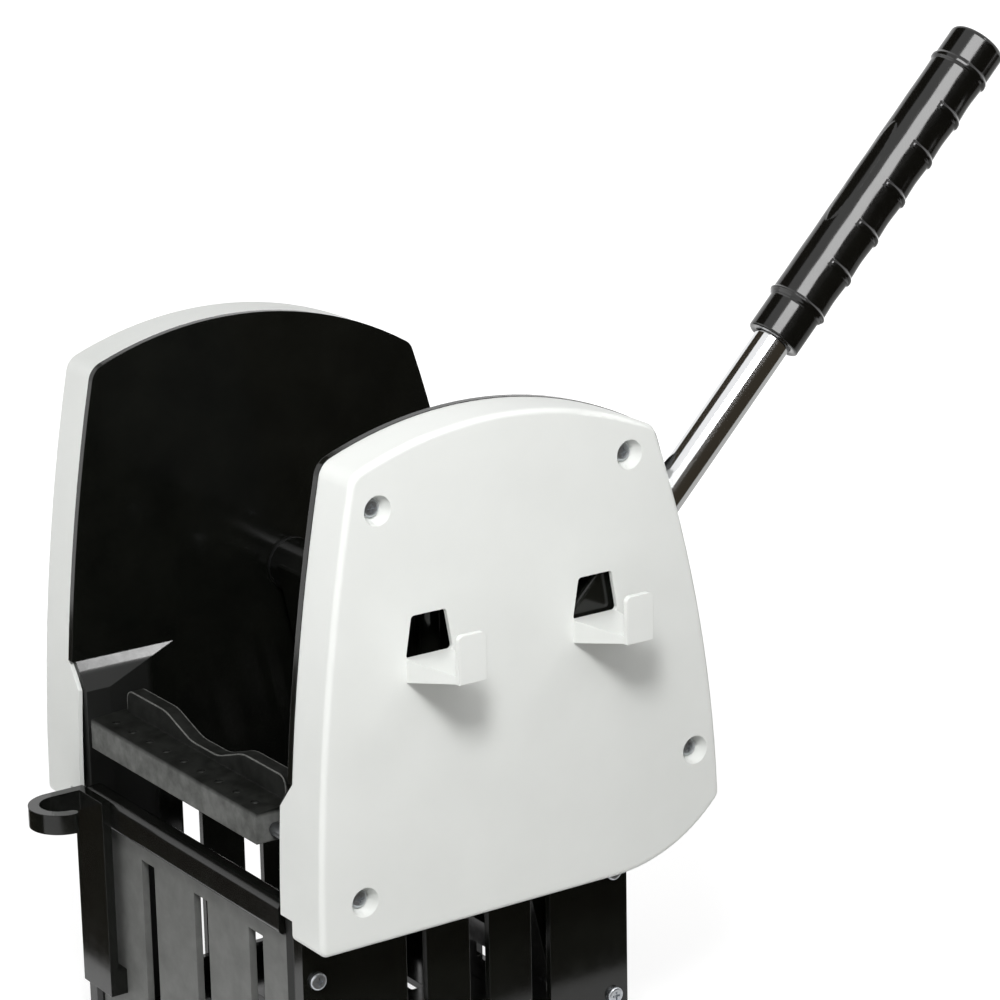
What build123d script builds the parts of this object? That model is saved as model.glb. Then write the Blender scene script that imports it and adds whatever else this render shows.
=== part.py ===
from build123d import *
import math
import os

# Lever-operated mop wringer. X runs across the hopper, Y from the open front to the lever at the
# rear, Z up. Pieces are drawn with Y from the front foot of the side covers and Z from the bucket
# rim, and move to the middle of the hopper floor when they are written.

# Hopper and cheeks
HOPPER_WIDTH = 224.0
LINER_WALL = 4.0
LINER_LIP = 0.3
LINER_TAIL = 16.0
HOPPER_DEPTH = 125.0
HOPPER_FRONT = 6.0
HOPPER_REAR = 204.0
PANEL_WALL = 4.0
FIT_GAP = 0.3
RUN_GAP = 0.05
LINER_INNER = HOPPER_WIDTH / 2
LINER_OUTER = LINER_INNER + LINER_WALL

# Outline of a side cover, as (Y, Z)
FOOT = (1.0, 0.0)
BROW_MID = (8.5, 131.0)
BROW = (26.0, 240.0)
CROWN = (114.0, 257.0)
SHOULDER = (204.0, 235.0)
BACK_MID = (230.4, 141.0)
SOLE = (178.0, 0.0)
HEEL_RADIUS = 88.0
HEEL_TURN = 48.6
BROW_RADIUS = 11.0
SHOULDER_RADIUS = 9.0
HEEL_CORNER_RADIUS = 6.0
FOOT_RADIUS = 4.0

# Side cover shell
COVER_DEPTH = 28.0
COVER_WALL = 2.5
COVER_EDGE_RADIUS = 3.0
COVER_FACE = LINER_OUTER + COVER_DEPTH
SKIRT_DEPTH = 11.0
SKIRT_FOOT = 11.0
STEP_TOP = 82.0
STEP_HEIGHT = 14.0
LEVER_SLOT_LOW = 94.0
LEVER_SLOT_HIGH = 212.0
LEVER_SLOT_DEPTH = 24.0

# Cover screws in round recesses, as (Y, Z)
SCREW_POINTS = ((40.0, 221.0), (188.0, 223.0), (228.0, 58.0), (26.5, 24.0))
RECESS_RADIUS = 7.6
RECESS_DEPTH = 8.0
RECESS_CLEARANCE = 0.6
SCREW_HEAD_RADIUS = 4.6
SCREW_HEAD_HEIGHT = 2.6
SCREW_HEAD_ROUND = 1.2
SCREW_RADIUS = 2.2
SCREW_LENGTH = 16.0
SCREW_SLOT_WIDTH = 1.2
SCREW_SLOT_DEPTH = 1.1
POST_RADIUS = 5.5

# Windows and the hooks below them
WINDOW_CENTRES = (67.3, 166.1)
WINDOW_FOOT = 143.5
WINDOW_HEIGHT = 21.5
WINDOW_FOOT_WIDTH = 27.5
WINDOW_HEAD_WIDTH = 20.0
WINDOW_RADIUS = 2.0
SHELF_REACH = 35.0
SHELF_ROOT_HEIGHT = 12.5
SHELF_TIP_WIDTH = 16.0
SHELF_TIP_HEIGHT = 4.0
LIP_WALL = 3.0
LIP_HEIGHT = 24.5
LIP_RADIUS = 3.0

# Guide pads at the front of the cheeks
PAD_DEPTH = 11.0
PAD_FLAT_END = 20.0
PAD_END = 66.0
PAD_FACE = LINER_INNER - PAD_DEPTH

# Drain slots below the rim
SIDE_SLOT_YS = (73.0, 111.0, 149.0)
SLOT_TOP = -12.0
SLOT_HEIGHT = 96.0
SIDE_SLOT_WIDTH = 12.0
FRONT_SLOT_WIDTH = 14.0
FRONT_SLOT_XS = (-43.0, 13.0, 69.0)
REAR_SLOT_WIDTH = 10.0
REAR_SLOT_PITCH = 34.0
REAR_SLOT_COUNT = 6

# Vertical rib on the outside of each cheek liner
RIB_Y = 84.0
RIB_RADIUS = 7.0
RIB_FOOT = 96.0
RIB_HEIGHT = 126.0

# Front strainer with its top rail
STRAINER_FRONT = 7.0
RAIL_PROUD = 5.0
RAIL_DEPTH = 12.0
RAIL_TOP = 15.0
RAIL_HEIGHT = 17.5
RAIL_RADIUS = 4.0
RAIL_FRONT = STRAINER_FRONT - RAIL_PROUD

# Rear panel and floor grid
REAR_PANEL_TOP = 60.0
PANEL_FLANGE = 14.0
FLOOR_SLOT_WIDTH = 8.0
FLOOR_SLOT_PITCH = 20.0
FLOOR_SLOT_COUNT = 7
FLOOR_SLOT_LENGTH = 58.0
FLOOR_SLOT_INSET = 24.0
FLOOR_SLOT_X = LINER_INNER - FLOOR_SLOT_INSET - FLOOR_SLOT_LENGTH / 2
FLOOR_LUG_WIDTH = 16.0
FLOOR_LUG_HEIGHT = 11.0

# Screws that hold the panels between the cheeks, as (Y, Z)
FRONT_SCREW_Y = STRAINER_FRONT + 7.0
REAR_SCREW_Y = HOPPER_REAR - 9.0
FLOOR_SCREW_Z = 9.0 - HOPPER_DEPTH
FRONT_SCREW_POINTS = ((FRONT_SCREW_Y, -24.0), (FRONT_SCREW_Y, -98.0))
REAR_SCREW_POINTS = ((REAR_SCREW_Y, -80.0), (REAR_SCREW_Y, -10.0))
FLOOR_SCREW_POINTS = ((94.0, FLOOR_SCREW_Z), (174.0, FLOOR_SCREW_Z))
PANEL_SCREW_REACH = 10.0
BOSS_RADIUS = 5.0
BOSS_LENGTH = 12.0

# Fixed front jaw on its two cross rods
JAW_BAR_GAP = 15.0
JAW_BAR_HALF = PAD_FACE - JAW_BAR_GAP
JAW_BAR_FRONT = 0.0
JAW_BAR_DEPTH = 28.0
JAW_BAR_FOOT = 42.0
JAW_BAR_HEIGHT = 16.0
JAW_BAR_RISE = 2.0
JAW_BAR_WALL = 4.0
JAW_BAR_RADIUS = 1.5
JAW_BAR_RIB_PITCH = 45.0
JAW_BAR_RIB_COUNT = 4
JAW_RIM_WALL = 8.0
JAW_RIM_INSET = 4.0
JAW_RIM_HALF = JAW_BAR_HALF - JAW_RIM_INSET
JAW_RIM_TOP = 72.0
JAW_RIM_RADIUS = 6.0
SCOOP_HALF = 14.0
SCOOP_SHOULDER = 40.0
SCOOP_DEPTH = 9.0
SCOOP_RADIUS = 30.0
JAW_HOLE_RADIUS = 2.2
JAW_HOLE_PITCH = 18.0
JAW_HOLE_COUNT = 9
JAW_HOLE_Y = 8.0
ROD_RADIUS = 3.5
ROD_YS = (11.0, 23.0)
ROD_Z = 48.0
ROD_END = 3.0
ROD_CLIP_RADIUS = 5.5
ROD_CLIP_WALL = 1.5

# Mop-handle hook on the rail, screwed on from behind
HANDLE_BORE = 12.0
HANDLE_BAND = 6.0
HANDLE_HEIGHT = 11.0
HANDLE_INSET = 15.0
HANDLE_X = HANDLE_INSET - PAD_FACE
HANDLE_Y = -20.0
HANDLE_TIP_TURN = -5.0
HANDLE_PLATE_WALL = 5.0
HANDLE_PLATE_REACH = 13.0
HANDLE_LEG = 112.0
HANDLE_FOOT_WIDTH = 26.0
HANDLE_FOOT_HEIGHT = 14.0
HANDLE_SCREW_XS = (HANDLE_X - 7.0, HANDLE_X + 7.0)
HANDLE_SCREW_Z = RAIL_TOP - RAIL_HEIGHT / 2
HANDLE_SCREW_BITE = 4.0

# Cross shaft, bushes and clips
SHAFT_Y = 142.0
SHAFT_Z = 111.5
SHAFT_RADIUS = 8.0
BUSH_WALL = 3.0
BUSH_FLANGE = 4.0
BUSH_FLANGE_WALL = 2.0
BEARING_BOSS = 2.0
BEARING_BOSS_WALL = 5.0
CLIP_WALL = 1.2
CLIP_RADIUS = 11.5
CLIP_GROOVE = 1.0
CLIP_GAP = 0.2
CLIP_MOUTH = 9.0
SHAFT_END = 0.5
KEY_WIDTH = 5.0
KEY_HEIGHT = 5.0
KEY_INSET = 1.0

# Lever, along its own axis from the shaft
LEVER_ANGLE = 45.6
LEVER_STROKE = 45.0
LEVER_OFFSET = 13.0
LEVER_X = LINER_OUTER + LEVER_OFFSET
ARM_HUB_RADIUS = 20.0
ARM_WIDTH = 32.0
ARM_THICKNESS = 20.0
ARM_LENGTH = 88.0
ARM_EDGE_RADIUS = 3.0
TUBE_RADIUS = 10.0
TUBE_WALL = 1.5
TUBE_END = 400.0
SPIGOT_LENGTH = 40.0
PIN_RADIUS = 2.5
PIN_INSET = 9.0
PIN_PITCH = 11.0
PIN_STATIONS = (ARM_LENGTH + PIN_INSET, ARM_LENGTH + PIN_INSET + PIN_PITCH)
GRIP_START = 211.5
GRIP_LENGTH = 194.0
GRIP_RADIUS = 15.4
GRIP_END_RADIUS = 3.0
GRIP_COLLAR_RADIUS = 14.4
RING_RADIUS = 16.4
RING_TOP = 15.2
RING_WIDTH = 5.4
RING_LAND = 3.6
RING_FIRST = 22.0
RING_PITCH = 25.4
RING_COUNT = 7
FINGER_RADIUS = 14.8
FINGER_TOP = 15.6
FINGER_STEP = 0.15

# Stop bumper for the lever arm
BUMPER_RADIUS = 7.0
BUMPER_PEG_RADIUS = 3.0
BUMPER_LENGTH = 18.0
BUMPER_STATION = 66.0

# Moving press jaw, hung on the shaft
JAW_REST_TURN = 12.0
JAW_HUB_RADIUS = 15.0
JAW_SIDE_GAP = 12.0
JAW_HALF = LINER_INNER - JAW_SIDE_GAP
JAW_LENGTH = 185.0
JAW_FACE_WALL = 5.0
JAW_FACE_TOP = 8.0
JAW_RIB_WALL = 5.0
JAW_RIB_PITCH = 39.0
JAW_RIB_COUNT = 6
JAW_RIB_TIP = 9.0
JAW_SLOT_WIDTH = 12.0
JAW_SLOT_TOP = 45.0
JAW_SLOT_MARGIN = 17.0
JAW_SLOT_END = JAW_LENGTH - JAW_SLOT_MARGIN
JAW_BOLT_XS = (-39.0, 39.0)
JAW_BOLT_RADIUS = 3.0
JAW_BOLT_HEAD_RADIUS = 5.0
JAW_BOLT_HEAD = 3.5
JAW_NUT_RADIUS = 5.5
JAW_NUT_WALL = 4.0
JAW_NUT_SEAT = 16.0
JAW_NUT_BOSS = 8.0
JAW_BOLT_PROUD = 1.0

# Spring crank, its pin, the anchor peg and the return spring in the far housing
CRANK_RADIUS = 40.0
CRANK_WALL = 7.0
CRANK_HUB_RADIUS = 16.0
CRANK_TIP_RADIUS = 8.0
PEG_RADIUS = 3.0
PEG_HEAD_RADIUS = 5.0
PEG_HEAD_WALL = 1.5
PEG_REACH = 22.5
PEG_END = LINER_OUTER + PEG_REACH
PEG_SINK = 3.0
ANCHOR_Z = 24.0
SPRING_OFFSET = 17.5
SPRING_X = LINER_OUTER + SPRING_OFFSET
SPRING_RADIUS = 5.1
SPRING_WIRE_RADIUS = 0.6
SPRING_PITCH = 4.3
SPRING_TURNS = 12
LEAST_TURN_GAP = 0.4

# Places that follow from the sizes above
RECESS_FLOOR = COVER_FACE - RECESS_DEPTH
BOSS_FACE = LINER_OUTER + BEARING_BOSS
ARM_INNER = LEVER_X - ARM_THICKNESS / 2
ARM_OUTER = LEVER_X + ARM_THICKNESS / 2
CRANK_INNER = BOSS_FACE + FIT_GAP
CRANK_OUTER = CRANK_INNER + CRANK_WALL
PIN_Y = SHAFT_Y - CRANK_RADIUS * math.cos(math.radians(LEVER_STROKE / 2))
PIN_Z = SHAFT_Z - CRANK_RADIUS * math.sin(math.radians(LEVER_STROKE / 2))
LEVER_COS = math.cos(math.radians(LEVER_ANGLE))
LEVER_SIN = math.sin(math.radians(LEVER_ANGLE))
LEVER = Plane((LEVER_X, SHAFT_Y, SHAFT_Z), x_dir=(1, 0, 0), z_dir=(0, LEVER_COS, LEVER_SIN))
JAW = Pos(0, SHAFT_Y, SHAFT_Z) * Rot(JAW_REST_TURN, 0, 0)

UPRIGHT = (Align.CENTER, Align.CENTER, Align.MIN)
CORNER = (Align.MIN, Align.MIN, Align.MIN)
NODES = {}


def tube_x(radius, x0, x1, y, z):
    """Round bar along X."""
    return Pos(x0, y, z) * Rot(0, 90, 0) * Cylinder(radius, x1 - x0, align=UPRIGHT)


def tube_y(radius, y0, y1, x, z):
    """Round bar along Y."""
    return Pos(x, y0, z) * Rot(-90, 0, 0) * Cylinder(radius, y1 - y0, align=UPRIGHT)


def block(x0, x1, y0, y1, z0, z1):
    """Box between two corners."""
    return Pos(x0, y0, z0) * Box(x1 - x0, y1 - y0, z1 - z0, align=CORNER)


def slab(face, x0, x1):
    """Face drawn in Y and Z, carried from one X to another."""
    return extrude(Pos(x0, 0, 0) * (Plane.YZ * face), x1 - x0, dir=(1, 0, 0))


def rectangle(y0, y1, z0, z1):
    """Upright rectangle between two corners, as a face in Y and Z."""
    return Pos(y0, z0) * Rectangle(y1 - y0, z1 - z0, align=(Align.MIN, Align.MIN))


def to_left(shape):
    """Mirror image on the other cheek."""
    return mirror(shape, about=Plane.YZ)


def both_sides(shape):
    """Shape on the right together with its mirror image."""
    return shape + to_left(shape)


def group(shapes):
    """Separate solids that share one node."""
    return Compound([solid for shape in shapes for solid in shape.solids()])


def spaced(count, pitch):
    """Centres of a row about zero."""
    return [(i - (count - 1) / 2) * pitch for i in range(count)]


def round_corner(face, point, radius):
    """Face with the corner nearest to a point rounded."""
    corner = min(face.vertices(), key=lambda v: (Vector(v.X, v.Y) - point).length)
    return fillet(corner, radius)


def circle_through(a, b, c):
    """Centre and radius of the circle through three points."""
    arc = ThreePointArc(a, b, c)
    return arc.arc_center, arc.radius


def crossing(first, second, near):
    """Point nearest to a given one where two circles cross."""
    (centre, radius), (other, other_radius) = first, second
    along = other - centre
    reach = (along.length ** 2 + radius ** 2 - other_radius ** 2) / (2 * along.length)
    side = Vector(-along.Y, along.X).normalized() * math.sqrt(radius ** 2 - reach ** 2)
    foot = centre + along.normalized() * reach
    return min((foot + side, foot - side), key=lambda point: (point - Vector(*near)).length)


def arc_on(circle, start, end):
    """Short arc of a circle between two of its points."""
    centre, radius = circle
    middle = centre + ((start + end) * 0.5 - centre).normalized() * radius
    return ThreePointArc(start, middle, end)


def cover_outline(inset=0.0, tail=0.0):
    """Outline of a side cover, or the same outline drawn in or out: bowed front, domed top,
    bulging rear, curved heel and a straight sole on the bucket rim. A tail carries the rear
    further back."""
    turn = math.radians(HEEL_TURN)
    heel_y = SOLE[0] + HEEL_RADIUS * math.sin(turn)
    heel_z = SOLE[1] + HEEL_RADIUS * (1 - math.cos(turn))
    bows = ((FOOT, BROW_MID, BROW), (BROW, CROWN, SHOULDER), (SHOULDER, BACK_MID, (heel_y, heel_z)))
    circles = [circle_through(*bow) for bow in bows]
    front, top, back = [(centre, radius - inset) for centre, radius in circles]
    back = (back[0] + Vector(tail, 0), back[1])
    under = (Vector(SOLE[0], SOLE[1] + HEEL_RADIUS), HEEL_RADIUS - inset)
    sole = Vector(SOLE[0], SOLE[1] + inset)
    foot_y = front[0].X - math.sqrt(front[1] ** 2 - (sole.Y - front[0].Y) ** 2)
    foot = Vector(foot_y, sole.Y)
    brow = crossing(front, top, BROW)
    shoulder = crossing(top, back, SHOULDER)
    heel = crossing(back, under, (heel_y, heel_z))
    edges = arc_on(front, foot, brow) + arc_on(top, brow, shoulder) + arc_on(back, shoulder, heel)
    edges += arc_on(under, heel, sole) + Line(sole, foot)
    face = make_face(edges)
    face = round_corner(face, brow, BROW_RADIUS - inset)
    face = round_corner(face, shoulder, SHOULDER_RADIUS - inset)
    face = round_corner(face, heel, HEEL_CORNER_RADIUS - inset)
    return round_corner(face, foot, FOOT_RADIUS - inset)


def window(centre):
    """Window in a side cover, narrower at its head, as a face in Y and Z."""
    foot = WINDOW_FOOT_WIDTH / 2
    head = WINDOW_HEAD_WIDTH / 2
    top = WINDOW_FOOT + WINDOW_HEIGHT
    low = ((centre - foot, WINDOW_FOOT), (centre + foot, WINDOW_FOOT))
    high = ((centre + head, top), (centre - head, top))
    face = make_face(Polyline(*low, *high, close=True))
    return fillet(face.vertices(), WINDOW_RADIUS)


def shelf_section(x, centre, width, height):
    """Upright section of a hook shelf, with its top level with the window foot."""
    plane = Plane((x, centre, WINDOW_FOOT - height / 2), x_dir=(0, 1, 0), z_dir=(1, 0, 0))
    return plane * Rectangle(width, height)


def cover_hook(centre):
    """Hook below a window: a tapering shelf that reaches outwards and ends in an upturned lip."""
    tip_x = COVER_FACE + SHELF_REACH
    root = shelf_section(COVER_FACE - COVER_WALL, centre, WINDOW_FOOT_WIDTH, SHELF_ROOT_HEIGHT)
    tip = shelf_section(tip_x, centre, SHELF_TIP_WIDTH, SHELF_TIP_HEIGHT)
    half = SHELF_TIP_WIDTH / 2
    foot = WINDOW_FOOT - SHELF_TIP_HEIGHT
    lip = rectangle(centre - half, centre + half, foot, foot + LIP_HEIGHT)
    lip = fillet(lip.vertices().sort_by(Axis.Y)[-2:], LIP_RADIUS)
    return loft([root, tip]) + slab(lip, tip_x, tip_x + LIP_WALL)


def side_cover(with_lever_slot):
    """White moulded tray over one cheek, with screw recesses, windows and hooks."""
    outline = cover_outline()
    inner = cover_outline(COVER_WALL)
    shell = slab(outline, LINER_OUTER, COVER_FACE)
    shell = fillet(shell.faces().sort_by(Axis.X)[-1].edges(), COVER_EDGE_RADIUS)
    shell -= slab(inner, LINER_OUTER, COVER_FACE - COVER_WALL)
    edge = LINER_OUTER - SKIRT_DEPTH
    strip = (outline - inner) & rectangle(-FOOT_RADIUS, HOPPER_FRONT, SKIRT_FOOT, STEP_TOP)
    skirt = slab(strip, edge, LINER_OUTER)
    slope = ((edge, STEP_TOP - STEP_HEIGHT), (LINER_OUTER, STEP_TOP), (edge, STEP_TOP))
    corner = make_face(Polyline(*slope, close=True))
    skirt -= extrude(Plane.XZ * corner, HOPPER_FRONT, both=True)
    shell += skirt
    for y, z in SCREW_POINTS:
        ring = RECESS_RADIUS + COVER_WALL
        floor = SCREW_HEAD_RADIUS + RECESS_CLEARANCE
        cone = Cone(floor, RECESS_RADIUS, RECESS_DEPTH, align=UPRIGHT)
        shell += tube_x(ring, RECESS_FLOOR - COVER_WALL, COVER_FACE - COVER_WALL, y, z)
        shell -= Pos(RECESS_FLOOR, y, z) * Rot(0, 90, 0) * cone
        shell -= tube_x(SCREW_RADIUS + RUN_GAP, RECESS_FLOOR - COVER_WALL, RECESS_FLOOR, y, z)
    for centre in WINDOW_CENTRES:
        shell += cover_hook(centre)
        shell -= slab(window(centre), COVER_FACE - COVER_WALL, COVER_FACE)
    if with_lever_slot:
        slot = rectangle(SHOULDER[0], SOLE[0] + HEEL_RADIUS, LEVER_SLOT_LOW, LEVER_SLOT_HIGH)
        shell -= slab(slot, LINER_OUTER, LINER_OUTER + LEVER_SLOT_DEPTH)
    return shell


def guide_pad():
    """Wedge that narrows the hopper at the front, with a sloped top that runs out to the rear."""
    front = ((LINER_INNER, HOPPER_FRONT), (PAD_FACE, HOPPER_FRONT))
    plan = make_face(Polyline(*front, (PAD_FACE, PAD_FLAT_END), (LINER_INNER, PAD_END), close=True))
    pad = extrude(Pos(0, 0, -HOPPER_DEPTH) * plan, HOPPER_DEPTH + STEP_TOP)
    crest = (LINER_INNER, HOPPER_FRONT, STEP_TOP)
    slope = Plane(crest, x_dir=(0, 1, 0), z_dir=(-STEP_HEIGHT, 0, PAD_DEPTH))
    return split(pad, bisect_by=slope, keep=Keep.BOTTOM)


def cheek_liner():
    """Black cheek: upper wall, guide pad, slotted lower wall, screw posts, bearing boss and rib."""
    upper = cover_outline(-LINER_LIP, LINER_TAIL)
    lower = rectangle(HOPPER_FRONT, HOPPER_REAR, -HOPPER_DEPTH, STEP_HEIGHT)
    clear = rectangle(-FOOT_RADIUS, HOPPER_FRONT, -FOOT_RADIUS, STEP_TOP + FIT_GAP)
    wall = slab(upper + lower - clear, LINER_INNER, LINER_OUTER)
    wall += guide_pad()
    half = SIDE_SLOT_WIDTH / 2
    for y in SIDE_SLOT_YS:
        wall -= block(LINER_INNER, LINER_OUTER, y - half, y + half, SLOT_TOP - SLOT_HEIGHT, SLOT_TOP)
    seat = RECESS_FLOOR - COVER_WALL
    for y, z in SCREW_POINTS:
        wall += tube_x(POST_RADIUS, LINER_OUTER, seat, y, z)
        wall -= tube_x(SCREW_RADIUS + RUN_GAP, seat - SCREW_LENGTH, seat, y, z)
    rib = Pos(LINER_OUTER, RIB_Y, RIB_FOOT) * Cylinder(RIB_RADIUS, RIB_HEIGHT, align=UPRIGHT)
    wall += split(rib, bisect_by=Plane.YZ.offset(LINER_OUTER), keep=Keep.TOP)
    bush = SHAFT_RADIUS + BUSH_WALL + 2 * RUN_GAP
    wall += tube_x(bush + BEARING_BOSS_WALL, LINER_OUTER, BOSS_FACE, SHAFT_Y, SHAFT_Z)
    wall -= tube_x(bush, LINER_INNER, BOSS_FACE, SHAFT_Y, SHAFT_Z)
    for y in ROD_YS:
        wall -= tube_x(ROD_RADIUS + RUN_GAP, PAD_FACE, LINER_OUTER, y, ROD_Z)
    for y, z in FRONT_SCREW_POINTS + REAR_SCREW_POINTS + FLOOR_SCREW_POINTS:
        wall -= tube_x(SCREW_RADIUS + RUN_GAP, PAD_FACE, LINER_OUTER, y, z)
    return wall


def bumper_place():
    """Centre of the stop bumper, against the upper side of the raised arm, as (Y, Z)."""
    off = ARM_WIDTH / 2 + BUMPER_RADIUS + FIT_GAP
    return (SHAFT_Y + BUMPER_STATION * LEVER_COS - off * LEVER_SIN,
            SHAFT_Z + BUMPER_STATION * LEVER_SIN + off * LEVER_COS)


def pan_screw(length):
    """Pan-head screw with a cross recess, pointing down from its seat."""
    head = Cylinder(SCREW_HEAD_RADIUS, SCREW_HEAD_HEIGHT, align=UPRIGHT)
    head = fillet(head.edges().sort_by(Axis.Z)[-1], SCREW_HEAD_ROUND)
    for turn in (0, 90):
        slot = Rot(0, 0, turn) * Box(SCREW_HEAD_RADIUS, SCREW_SLOT_WIDTH, 2 * SCREW_SLOT_DEPTH)
        head -= Pos(0, 0, SCREW_HEAD_HEIGHT) * slot
    return head + Pos(0, 0, -length) * Cylinder(SCREW_RADIUS, length, align=UPRIGHT)


def screws_right(points, seat, length):
    """Screws driven in from the right at the given points."""
    screw = Rot(0, 90, 0) * pan_screw(length)
    return [Pos(seat, y, z) * screw for y, z in points]


def screw_bosses(points):
    """Bosses of a panel that take the screws from the right cheek."""
    end = LINER_INNER - FIT_GAP
    bosses = [tube_x(BOSS_RADIUS, end - BOSS_LENGTH, end, y, z) for y, z in points]
    return bosses[0] + bosses[1:]


def screw_holes(points, end):
    """Holes in those bosses."""
    holes = [tube_x(SCREW_RADIUS + RUN_GAP, end - BOSS_LENGTH, end, y, z) for y, z in points]
    return holes[0] + holes[1:]


def front_strainer():
    """Slotted front panel with its rounded top rail and four screw bosses."""
    half = PAD_FACE - FIT_GAP
    rear = STRAINER_FRONT + PANEL_WALL
    rail = rectangle(RAIL_FRONT, RAIL_FRONT + RAIL_DEPTH, RAIL_TOP - RAIL_HEIGHT, RAIL_TOP)
    rail = fillet(rail.vertices(), RAIL_RADIUS)
    panel = block(-half, half, STRAINER_FRONT, rear, -HOPPER_DEPTH, RAIL_TOP - RAIL_HEIGHT / 2)
    panel += slab(rail, -half, half)
    side = FRONT_SLOT_WIDTH / 2
    for x in FRONT_SLOT_XS:
        panel -= block(x - side, x + side, STRAINER_FRONT, rear, SLOT_TOP - SLOT_HEIGHT, SLOT_TOP)
    inward = Pos(-PAD_DEPTH, 0, 0)
    panel += both_sides(inward * screw_bosses(FRONT_SCREW_POINTS))
    panel -= both_sides(screw_holes(FRONT_SCREW_POINTS, half))
    for x in HANDLE_SCREW_XS:
        end = RAIL_FRONT + RAIL_DEPTH
        panel -= tube_y(SCREW_RADIUS + RUN_GAP, RAIL_FRONT, end, x, HANDLE_SCREW_Z)
    return panel


def rear_panel():
    """Slotted rear wall with forward flanges along the cheeks."""
    half = LINER_INNER - FIT_GAP
    front = HOPPER_REAR - PANEL_WALL
    panel = block(-half, half, front, HOPPER_REAR, -HOPPER_DEPTH, REAR_PANEL_TOP)
    side = REAR_SLOT_WIDTH / 2
    for x in spaced(REAR_SLOT_COUNT, REAR_SLOT_PITCH):
        panel -= block(x - side, x + side, front, HOPPER_REAR, SLOT_TOP - SLOT_HEIGHT, SLOT_TOP)
    foot = PANEL_WALL + FIT_GAP - HOPPER_DEPTH
    flange = block(half - PANEL_WALL, half, front - PANEL_FLANGE, front, foot, REAR_PANEL_TOP)
    flange += screw_bosses(REAR_SCREW_POINTS)
    flange -= screw_holes(REAR_SCREW_POINTS, half)
    return panel + both_sides(flange)


def floor_grid():
    """Slotted floor with a plain middle strip and lugs that take the cheek screws."""
    half = LINER_INNER - FIT_GAP
    narrow = PAD_FACE - FIT_GAP
    front = STRAINER_FRONT + PANEL_WALL + FIT_GAP
    rear = HOPPER_REAR - PANEL_WALL - FIT_GAP
    right = ((narrow, front), (narrow, PAD_FLAT_END), (half, PAD_END), (half, rear))
    left = [(-x, y) for x, y in reversed(right)]
    plan = make_face(Polyline(*right, *left, close=True))
    grid = extrude(Pos(0, 0, -HOPPER_DEPTH) * plan, PANEL_WALL)
    slot = Box(FLOOR_SLOT_LENGTH, FLOOR_SLOT_WIDTH, PANEL_WALL, align=UPRIGHT)
    for y in spaced(FLOOR_SLOT_COUNT, FLOOR_SLOT_PITCH):
        place = Pos(FLOOR_SLOT_X, (front + rear) / 2 + y, -HOPPER_DEPTH)
        grid -= both_sides(place * slot)
    top = PANEL_WALL - HOPPER_DEPTH
    side = FLOOR_LUG_WIDTH / 2
    for y, z in FLOOR_SCREW_POINTS:
        lug = block(half - BOSS_LENGTH, half, y - side, y + side, top, top + FLOOR_LUG_HEIGHT)
        grid += both_sides(lug)
    return grid - both_sides(screw_holes(FLOOR_SCREW_POINTS, half))


def front_jaw():
    """Hollow press bar with drain holes, inner ribs and a wavy rim along its rear edge."""
    rear = JAW_BAR_FRONT + JAW_BAR_DEPTH
    top = JAW_BAR_FOOT + JAW_BAR_HEIGHT
    low = ((JAW_BAR_FRONT, JAW_BAR_FOOT), (rear, JAW_BAR_FOOT))
    section = make_face(Polyline(*low, (rear, top + JAW_BAR_RISE), (JAW_BAR_FRONT, top), close=True))
    section = round_corner(section, Vector(JAW_BAR_FRONT, top), JAW_BAR_RADIUS)
    bar = slab(section, -JAW_BAR_HALF, JAW_BAR_HALF)
    inner = JAW_BAR_HALF - JAW_BAR_WALL
    front = JAW_BAR_FRONT + JAW_BAR_WALL
    bar -= block(-inner, inner, front, rear - JAW_BAR_WALL, JAW_BAR_FOOT, top - JAW_BAR_WALL)
    side = JAW_BAR_WALL / 2
    for x in spaced(JAW_BAR_RIB_COUNT, JAW_BAR_RIB_PITCH):
        bar += block(x - side, x + side, front, rear - JAW_BAR_WALL, JAW_BAR_FOOT, top - JAW_BAR_WALL)
    dip = JAW_RIM_TOP - SCOOP_DEPTH
    half_rim = ((JAW_RIM_HALF, top), (JAW_RIM_HALF, JAW_RIM_TOP), (SCOOP_SHOULDER, JAW_RIM_TOP),
                (SCOOP_HALF, dip))
    rim = make_face(Polyline(*half_rim, *[(-x, z) for x, z in reversed(half_rim)], close=True))
    for x, z in half_rim[1:]:
        radius = JAW_RIM_RADIUS if x == JAW_RIM_HALF else SCOOP_RADIUS
        rim = round_corner(rim, Vector(x, z), radius)
        rim = round_corner(rim, Vector(-x, z), radius)
    bar += extrude(Pos(0, rear, 0) * (Plane.XZ * rim), JAW_RIM_WALL)
    for x in spaced(JAW_HOLE_COUNT, JAW_HOLE_PITCH):
        hole = Pos(x, JAW_HOLE_Y, top - JAW_BAR_WALL)
        bar -= hole * Cylinder(JAW_HOLE_RADIUS, JAW_BAR_WALL + JAW_BAR_RISE, align=UPRIGHT)
    for y in ROD_YS:
        bar -= tube_x(ROD_RADIUS + RUN_GAP, -JAW_BAR_HALF, JAW_BAR_HALF, y, ROD_Z)
    return bar


def rod_clips():
    """Push-on clips at both ends of the two rods."""
    clips = []
    for y in ROD_YS:
        clip = tube_x(ROD_CLIP_RADIUS, LINER_OUTER, LINER_OUTER + ROD_CLIP_WALL, y, ROD_Z)
        clip -= tube_x(ROD_RADIUS + RUN_GAP, LINER_OUTER, LINER_OUTER + ROD_CLIP_WALL, y, ROD_Z)
        clips += [clip, to_left(clip)]
    return group(clips)


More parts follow.
